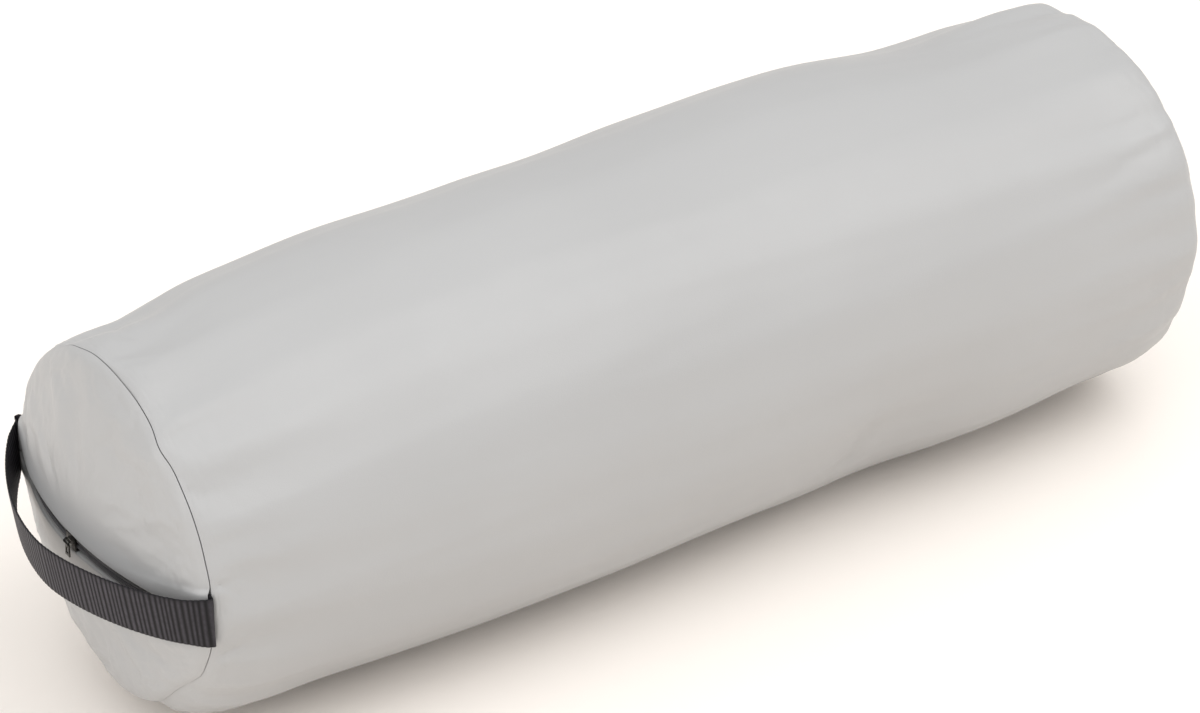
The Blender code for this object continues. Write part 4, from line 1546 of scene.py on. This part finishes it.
class Handle:
    """The ribbed webbing loop, its two sewn ends and their bar stitches."""

    width: float = 0.0300
    thickness: float = 0.0015
    reach: float = 0.0424
    near: Bow = Bow(0.0997, 1.60, 0.70, math.radians(5.2))
    far: Bow = Bow(0.0976, 1.90, 0.83, math.radians(13.6))
    lean: float = math.radians(8.9)
    lean_start: float = 0.25
    tuck: float = 0.0070
    bend: float = 0.0011
    pitch: float = 0.0030
    rib_height: float = 0.00024
    scallop: float = 0.00030
    girth: int = 28
    step: float = 0.00036
    edge_powers: tuple[float, float] = (0.55, 0.35)
    scallop_power: int = 12
    selvedge_power: int = 14
    rib_drifts: tuple = ((0.00045, 410.0, 0.0), (0.00035, 173.0, 1.0))
    free_reach: float = 0.0130

    def __init__(self, cover: CoverSizes, wardrobe: Wardrobe) -> None:
        """Keeps what it is made with."""
        self.cover = cover
        self.wardrobe = wardrobe
        self.ribs = RibTree(wardrobe.materials["webbing"])
        self.hinge_x = -(cover.half_length + cover.seam_gap + self.thickness / 2)

    def half(self, bow: Bow) -> Array:
        """(distance from the middle, distance out, droop) places from inside the seam to the middle."""
        share = np.cos(np.linspace(0.0, math.pi / 2, 2001))
        out = self.reach * (1 - share**bow.power) ** bow.roundness
        inside = np.linspace(bow.chord - self.tuck, bow.chord, 60)[:-1]
        places = np.concatenate([np.stack([inside, 0 * inside], 1), np.stack([bow.chord * share, out], 1)])
        middle = 0.5 * (self.near.droop + self.far.droop)
        droop = bow.droop + (middle - bow.droop) * (1 - np.clip(places[:, 0] / bow.chord, 0.0, 1.0))
        return np.column_stack([places, droop])

    def path(self) -> tuple[Array, Array]:
        """Evenly spaced (y, distance out, droop) places along the webbing, tucked into the seam at both ends.

        Returns:
            The places, and the length run to each.
        """
        near, far = self.half(self.near), self.half(self.far)
        near[:, 0] *= -1
        points = np.concatenate([near, far[::-1][1:]])
        fine = self.step / 2
        points, run = self.evenly(points, fine)
        spread = int(4 * self.bend / fine)
        kernel = np.exp(-0.5 * (np.arange(-spread, spread + 1) * fine / self.bend) ** 2)
        kernel /= kernel.sum()
        smooth = points.copy()
        for k in range(2):
            smooth[spread:-spread, k] = np.convolve(points[:, k], kernel, "valid")
        return self.evenly(smooth, self.step)

    @staticmethod
    def evenly(points: Array, step: float) -> tuple[Array, Array]:
        """The same line at even steps, and the length run to each place."""
        run = np.concatenate([[0.0], np.cumsum(np.hypot(*np.diff(points[:, :2], axis=0).T))])
        even = np.linspace(0.0, run[-1], int(run[-1] / step))
        return np.stack([np.interp(even, run, points[:, k]) for k in range(points.shape[1])], axis=1), even

    def sweep(self, name: str, places: Array, run: Array) -> bpy.types.Object:
        """Webbing along a line.

        Args:
            name: the new piece's name.
            places: rows of y, distance out and droop.
            run: length run to each place.

        Returns:
            The ribbed piece, dressed.
        """
        out, droop = places[:, 1], places[:, 2]
        fall = np.stack([-np.cos(droop), 0 * droop, -np.sin(droop)], axis=1)
        centre = np.stack([0 * out, places[:, 0], 0 * out], axis=1) + out[:, None] * fall
        centre += np.array([self.hinge_x, 0.0, self.cover.axis_height])
        tangent = np.gradient(centre, axis=0)
        tangent /= np.linalg.norm(tangent, axis=1)[:, None]
        lean = self.lean * np.clip(out / self.reach / self.lean_start, 0.0, 1.0)
        across = np.stack([-np.sin(lean), 0 * lean, np.cos(lean)], axis=1)
        across -= tangent * (across * tangent).sum(axis=1)[:, None]
        across /= np.linalg.norm(across, axis=1)[:, None]
        through = np.cross(tangent, across)
        turn = ring_turns(self.girth)
        wide, thick = (
            np.sign(wave) * np.abs(wave) ** power for wave, power in zip((np.cos(turn), np.sin(turn)), self.edge_powers)
        )
        points = (
            centre[:, None, :]
            + across[:, None, :] * (wide * (self.width / 2))[None, :, None]
            + through[:, None, :] * (thick * (self.thickness / 2))[None, :, None]
        )
        scallop = np.sign(wide) * np.abs(wide) ** self.scallop_power * self.scallop
        press = -across[:, None, :] * scallop[None, :, None]
        press = press - through[:, None, :] * (thick * self.rib_height)[None, :, None]
        count = len(places)
        faces = grid_faces(count, self.girth, True)
        faces.append(tuple(range(self.girth)))
        faces.append(tuple((count - 1) * self.girth + k for k in range(self.girth)))
        mesh = bpy.data.meshes.new(name)
        mesh.from_pydata([tuple(point) for point in points.reshape(-1, 3)], [], faces)
        uneven = run + sum(depth * np.sin(run * rate + start) for depth, rate, start in self.rib_drifts)
        edge = np.abs(wide) ** self.selvedge_power
        floats = {"run": np.repeat(uneven, self.girth), "selvedge": np.tile(edge, count)}
        for label, values in floats.items():
            data = mesh.attributes.new(label, "FLOAT", "POINT").data
            data.foreach_set("value", values.astype(np.float32))
        data = mesh.attributes.new("groove", "FLOAT_VECTOR", "POINT").data
        data.foreach_set("vector", press.reshape(-1).astype(np.float32))
        shape = bmesh.new()
        shape.from_mesh(mesh)
        bmesh.ops.recalc_face_normals(shape, faces=shape.faces)
        shape.to_mesh(mesh)
        shape.free()
        mesh.shade_smooth()
        strap = linked(name, mesh)
        self.ribs.grow(strap, {"Pitch": self.pitch, "Depth": 1.0})
        for label in ("run", "groove", "selvedge"):
            strap.data.attributes.remove(strap.data.attributes[label])
        self.wardrobe.dress(strap, "webbing")
        return strap

    def build(self) -> None:
        """Makes the loop and the flat ends that are sewn in, and dresses their bar stitches."""
        places, run = self.path()
        loop = self.sweep("webbing_loop", places, run)
        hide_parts("handle_strap")
        seam = (self.hinge_x - self.thickness, 0.0, self.cover.axis_height)
        loose = (self.hinge_x - self.free_reach, 0.0, self.cover.axis_height)
        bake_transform(loop)
        for side, sign, bow in (("left", -1, self.near), ("right", 1, self.far)):
            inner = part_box(f"handle_end_{side}")[0 if sign > 0 else 1].y
            y = np.linspace(inner + sign * 0.0005, sign * (bow.chord - self.tuck - 0.0002), 24)
            flat = self.sweep(f"webbing_end_{side}", np.stack([y, 0 * y, 0 * y], axis=1), np.abs(y - y[0]))
            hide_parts(f"handle_end_{side}")
            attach(flat, "root")
            self.wardrobe.dress_node(f"handle_bartack_{side}", "thread")


# Filling and seams


class Filling:
    """The foam core, the wadding rolled round it and the pads that crown its ends."""

    sides: int = 150
    core_edge: float = 0.0040
    skin_room: float = 0.0042
    fluff: float = 0.0008
    pad_depth: float = 0.0047
    pad_radius: float = 0.0845
    roll_step: float = 0.0012
    roll_end: float = math.radians(120)
    core_hollow: float = 0.0003
    core_room: float = 0.0004
    least_wrap: float = 0.0008

    def __init__(self, cover: CoverSizes, wardrobe: Wardrobe) -> None:
        """Takes the core's size from its solid."""
        self.cover = cover
        self.wardrobe = wardrobe
        self.core_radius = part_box("foam_core")[1].y
        self.core_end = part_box("foam_core")[1].x

    def uneven(self, shape: tuple[int, ...], seed: int) -> Array:
        """Small soft random hollows on a ring grid, from 0 to 1."""
        hollows = np.random.default_rng(seed).uniform(0.0, 1.0, shape)
        for _ in range(3):
            hollows = (hollows + np.roll(hollows, 1, 1) + np.roll(hollows, -1, 1)) / 3
            hollows[1:-1] = (hollows[:-2] + hollows[1:-1] + hollows[2:]) / 3
        return np.clip((hollows - 0.3) * 2.5, 0.0, 1.0)

    def finish(self, name: str, cloud: Array, node: str, slot: str, fill: float) -> bpy.types.Object:
        """Closes a ring grid, whose first and last rows may be points, and dresses it."""
        faces = grid_faces(cloud.shape[0], cloud.shape[1], True)
        piece = make_piece(name, cloud.reshape(-1, 3), faces, Vector((0.0, 0.0, self.cover.axis_height)))
        self.wardrobe.dress(piece, slot)
        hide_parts(node)
        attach(piece, "root")
        return piece

    def build_core(self) -> None:
        """The foam cylinder with its cut edges a little rounded."""
        edge = self.core_edge
        bend = np.linspace(0.0, math.pi / 2, 8)
        end_x = self.core_end - edge + edge * np.cos(bend)
        end_r = self.core_radius - edge + edge * np.sin(bend)
        disc_r = np.linspace(0.0, self.core_radius - edge, 14)[:-1]
        middle = np.linspace(-1.0, 1.0, 90)[1:-1] * (self.core_end - edge)
        x = np.concatenate([0 * disc_r - self.core_end, -end_x, middle, end_x[::-1], 0 * disc_r + self.core_end])
        r = np.concatenate([disc_r, end_r, 0 * middle + self.core_radius, end_r[::-1], disc_r[::-1]])
        turn = ring_turns(self.sides)
        hollows = self.uneven((len(x), self.sides), 7) * self.core_hollow
        radius = np.maximum(r[:, None] - hollows, 0.0) * (r[:, None] > 0)
        cloud = self.cover.about_axis(np.repeat(x[:, None], self.sides, axis=1), radius, turn)
        self.finish("core", cloud, "foam_core", "foam", 1.0)

    def build_wrap(self, outer: Array) -> None:
        """Rolled wadding that fills the cover out, its last edge showing as a low step.

        Args:
            outer: the body panel's outer points.
        """
        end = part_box("wadding_wrap")[1].x
        rows = outer[np.abs(outer[:, :, 0]).max(axis=1) < end - 0.0005][::2, ::2]
        turn = np.arctan2(rows[..., 1], self.cover.axis_height - rows[..., 2])
        radius = np.hypot(rows[..., 1], rows[..., 2] - self.cover.axis_height) - self.skin_room
        radius = radius - self.roll_step * ((turn - self.roll_end) / math.tau % 1.0)
        radius = radius - self.fluff * self.uneven(radius.shape, 19)
        inner = self.core_radius + self.core_room
        radius = np.maximum(radius, inner + self.least_wrap)
        skin = self.cover.about_axis(rows[..., 0], radius, turn)
        lining = self.cover.about_axis(rows[..., 0], np.full(radius.shape, inner), turn)
        cloud = np.concatenate([skin, lining[::-1], skin[:1]])
        self.finish("rolled_wadding", cloud, "wadding_wrap", "wadding", 0.8)

    def build_pad(self, side: str, end: int, slot: str) -> None:
        """One crowned pad."""
        s = self.cover
        r = np.linspace(0.0, self.pad_radius, 42)
        dome = np.sqrt((s.dome_radius - self.pad_depth) ** 2 - r**2) + s.dome_centre
        base = self.core_end + self.core_room
        flat = np.linspace(0.0, self.pad_radius, 8)
        radius = np.concatenate([flat, r[::-1]])
        x = np.concatenate([0 * flat + base, dome[::-1]])
        turn = ring_turns(self.sides)
        hollows = self.uneven((len(x), self.sides), 29 + end) * self.fluff
        hollows *= ((x[:, None] > base + 0.002) & (radius[:, None] > 0)).astype(float)
        ring = np.repeat(radius[:, None], self.sides, axis=1)
        cloud = self.cover.about_axis(end * (x[:, None] - hollows), ring, turn)
        self.finish(f"crown_pad_{side}", cloud, f"wadding_pad_{side}", slot, 0.7)

    def build(self, outer: Array) -> None:
        """Makes all four."""
        self.build_core()
        self.build_wrap(outer)
        self.build_pad("closed", 1, "wadding")
        self.build_pad("zip", -1, "wadding")
        # the zip end's pad takes a near-black sheet: painted shade for the gap behind the zip
        pad = bpy.data.objects["crown_pad_zip"]
        pad.data.materials.clear()
        pad.data.materials.append(PaintedShadeSheet().material())


class SeamThreads:
    """The rows of stitches inside the two end seams and the long seam."""

    stitch: float = 0.0030
    spacing: float = 0.0035
    width: float = 0.0008
    depth: float = 0.0007
    behind_rim: float = 0.0027
    behind_skin: float = 0.0044

    def __init__(self, skin: Skin, wardrobe: Wardrobe) -> None:
        """Makes the stitch that every row repeats."""
        self.skin = skin
        self.wardrobe = wardrobe
        self.tree = CopyTree(CopyShape.STITCH, wardrobe.materials["thread"])
        self.sizes = {"Length": self.stitch, "Width": self.width, "Depth": self.depth}

    def finish(self, name: str, places: Array, along: Array, outward: Array, node: str) -> None:
        """Makes one row and dresses it."""
        row = row_of(name, self.tree, places, along, outward, self.sizes)
        self.wardrobe.dress(row, "thread")
        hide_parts(node)
        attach(row, "root")

    def build(self) -> None:
        """Makes the three rows."""
        s = self.skin.sizes
        for side, end in (("zip", -1), ("closed", 1)):
            count = int(math.tau * s.seam_radius / self.spacing)
            angle = ring_turns(count)
            radius = np.maximum(self.skin.rim(angle, end) - self.behind_rim, s.flange_radius + 0.0008)
            x = end * (s.half_length + s.seam_gap / 2 + self.skin.seam_shift(angle, end))
            places = s.about_axis(x, radius, angle)
            along = np.roll(places, -1, axis=0) - np.roll(places, 1, axis=0)
            outward = np.repeat([[float(end), 0.0, 0.0]], count, axis=0)
            self.finish(f"end_stitches_{side}", places, along, outward, f"end_seam_thread_{side}")
        share = np.arange(-0.985, 0.985, self.spacing / s.half_length)
        turn = np.full(share.shape, s.long_seam_angle)
        outward = np.stack([0 * turn, np.sin(turn), -np.cos(turn)], axis=1)
        places = self.skin.body(share, turn) - self.behind_skin * outward
        along = np.gradient(places, axis=0)
        self.finish("long_seam_stitches", places, along, outward, "body_seam_thread")


# Studio


@dataclass(frozen=True)
class Studio:
    """A pale floor, soft light and the camera."""

    azimuth: float = math.radians(33.36)
    elevation: float = math.radians(33.43)
    distance: float = 3.442
    aim_right: float = -0.01145
    aim_up: float = -0.0067
    lens: float = 193.9
    world_strength: float = 0.57
    world_rise: float = 0.64
    floor_side: float = 14.0
    floor_height: float = -0.0004

    def build_camera(self, axis_height: float) -> None:
        """Places the camera by its angles about the bolster's middle."""
        a, e = self.azimuth, self.elevation
        back = Vector((-math.sin(a) * math.cos(e), -math.cos(a) * math.cos(e), math.sin(e)))
        right = Vector((math.cos(a), -math.sin(a), 0.0))
        up = back.cross(right)
        aim = Vector((0, 0, axis_height)) + right * self.aim_right + up * self.aim_up
        data = bpy.data.cameras.new("camera")
        data.lens = self.lens
        data.sensor_width = 36.0
        data.clip_end = 100.0
        camera = linked("camera", data)
        camera.location = aim + back * self.distance
        camera.rotation_euler = back.to_track_quat("Z", "Y").to_euler()
        bpy.context.scene.camera = camera

    def add_light(self, name: str, place: Vector, aim: Vector, side: float, power: float) -> None:
        """Adds one square soft white light that faces a place."""
        data = bpy.data.lights.new(name, "AREA")
        data.shape = "SQUARE"
        data.size = side
        data.energy = power
        light = linked(name, data)
        light.location = place
        light.rotation_euler = (place - aim).to_track_quat("Z", "Y").to_euler()

    def build(self, axis_height: float) -> None:
        """Makes the floor, the lights and the camera."""
        floor_mesh = bpy.data.meshes.new("floor")
        half = self.floor_side / 2
        corners = [(x * half, y * half, self.floor_height) for x, y in ((-1, -1), (1, -1), (1, 1), (-1, 1))]
        floor_mesh.from_pydata(corners, [], [(0, 1, 2, 3)])
        floor_mesh.materials.append(StudioFloor().material())
        floor = linked("floor", floor_mesh)
        self.build_world()
        self.add_light("key", Vector((1.1, -1.1, 2.4)), Vector((0.1, 0.0, 0.1)), 2.2, 30.0)
        self.add_light("side", Vector((-2.5, -0.6, 1.3)), Vector((-0.2, 0.0, 0.1)), 1.6, 17.0)
        self.build_camera(axis_height)
        view = bpy.context.scene.view_settings
        view.view_transform = "Standard"
        view.look = "None"
        view.exposure = 0.0

    def build_world(self) -> None:
        """Makes a white surround that brightens towards the top."""
        world = bpy.data.worlds.new("studio")
        world.use_nodes = True
        tree = world.node_tree
        backdrop = tree.nodes["Background"]
        direction = tree.nodes.new("ShaderNodeTexCoord")
        height = tree.nodes.new("ShaderNodeSeparateXYZ")
        strength = tree.nodes.new("ShaderNodeMath")
        strength.operation = "MULTIPLY_ADD"
        strength.inputs[1].default_value = self.world_rise
        strength.inputs[2].default_value = self.world_strength
        tree.links.new(direction.outputs["Generated"], height.inputs[0])
        tree.links.new(height.outputs[2], strength.inputs[0])
        tree.links.new(strength.outputs[0], backdrop.inputs["Strength"])
        backdrop.inputs["Color"].default_value = (1.0, 1.0, 1.0, 1.0)
        bpy.context.scene.world = world


FORMS = (
    Swell(-0.266, 157.0, -0.0056, 0.026, 0.055),
    Swell(-0.205, 154.0, -0.0016, 0.045, 0.060),
    Swell(-0.100, 156.0, -0.0020, 0.040, 0.060),
    Swell(-0.010, 156.0, -0.0028, 0.055, 0.060),
    Swell(0.212, 162.0, -0.0086, 0.048, 0.060),
    Swell(-0.285, -37.0, 0.0052, 0.036, 0.040),
    Swell(0.020, -56.0, -0.0028, 0.055, 0.060),
    Swell(0.113, -62.0, -0.0100, 0.052, 0.050),
    Swell(0.281, -45.0, 0.0040, 0.024, 0.050),
    Swell(0.300, -124.0, 0.0048, 0.022, 0.065),
    Fold((-0.2880, 168.0), (-0.2800, 150.0), 0.0014, 0.0050),
    Fold((-0.3070, 182.0), (-0.2900, 186.0), 0.0012, 0.0030),
    Fold((-0.3070, 190.0), (-0.2930, 192.0), 0.0009, 0.0028),
    Fold((-0.3070, 207.0), (-0.2960, 204.0), 0.0010, 0.0030),
    Fold((-0.3070, -101.5), (-0.2960, -97.0), 0.0015, 0.0024),
    Fold((-0.3070, -98.0), (-0.2990, -94.5), 0.0010, 0.0018),
    Fold((-0.3070, -74.0), (-0.2920, -77.0), 0.0020, 0.0024),
    Fold((-0.1000, 168.0), (-0.0780, 150.0), 0.0008, 0.0120),
    Fold((0.0860, -56.0), (0.0960, -70.0), 0.0034, 0.0090),
)


def main() -> None:
    """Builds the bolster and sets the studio."""
    logging.basicConfig(level=logging.INFO, format="%(message)s")
    sizes = CoverSizes()
    wardrobe = Wardrobe()
    skin = Skin(sizes, FORMS)
    stuffing = Stuffing()
    Studio().build(sizes.axis_height)
    LOG.info("studio ready")
    body = BodyPanel(skin, wardrobe, stuffing)
    body.build()
    LOG.info("body panel sewn")
    EndPanels(skin, wardrobe, stuffing).build()
    LOG.info("end panels sewn")
    Zip(sizes, wardrobe).build()
    LOG.info("zip fitted")
    Handle(sizes, wardrobe).build()
    LOG.info("handle fitted")
    Filling(sizes, wardrobe).build(body.outer)
    LOG.info("core, wadding and pads packed")
    SeamThreads(skin, wardrobe).build()
    LOG.info("seams stitched")


if __name__ == "__main__":
    main()
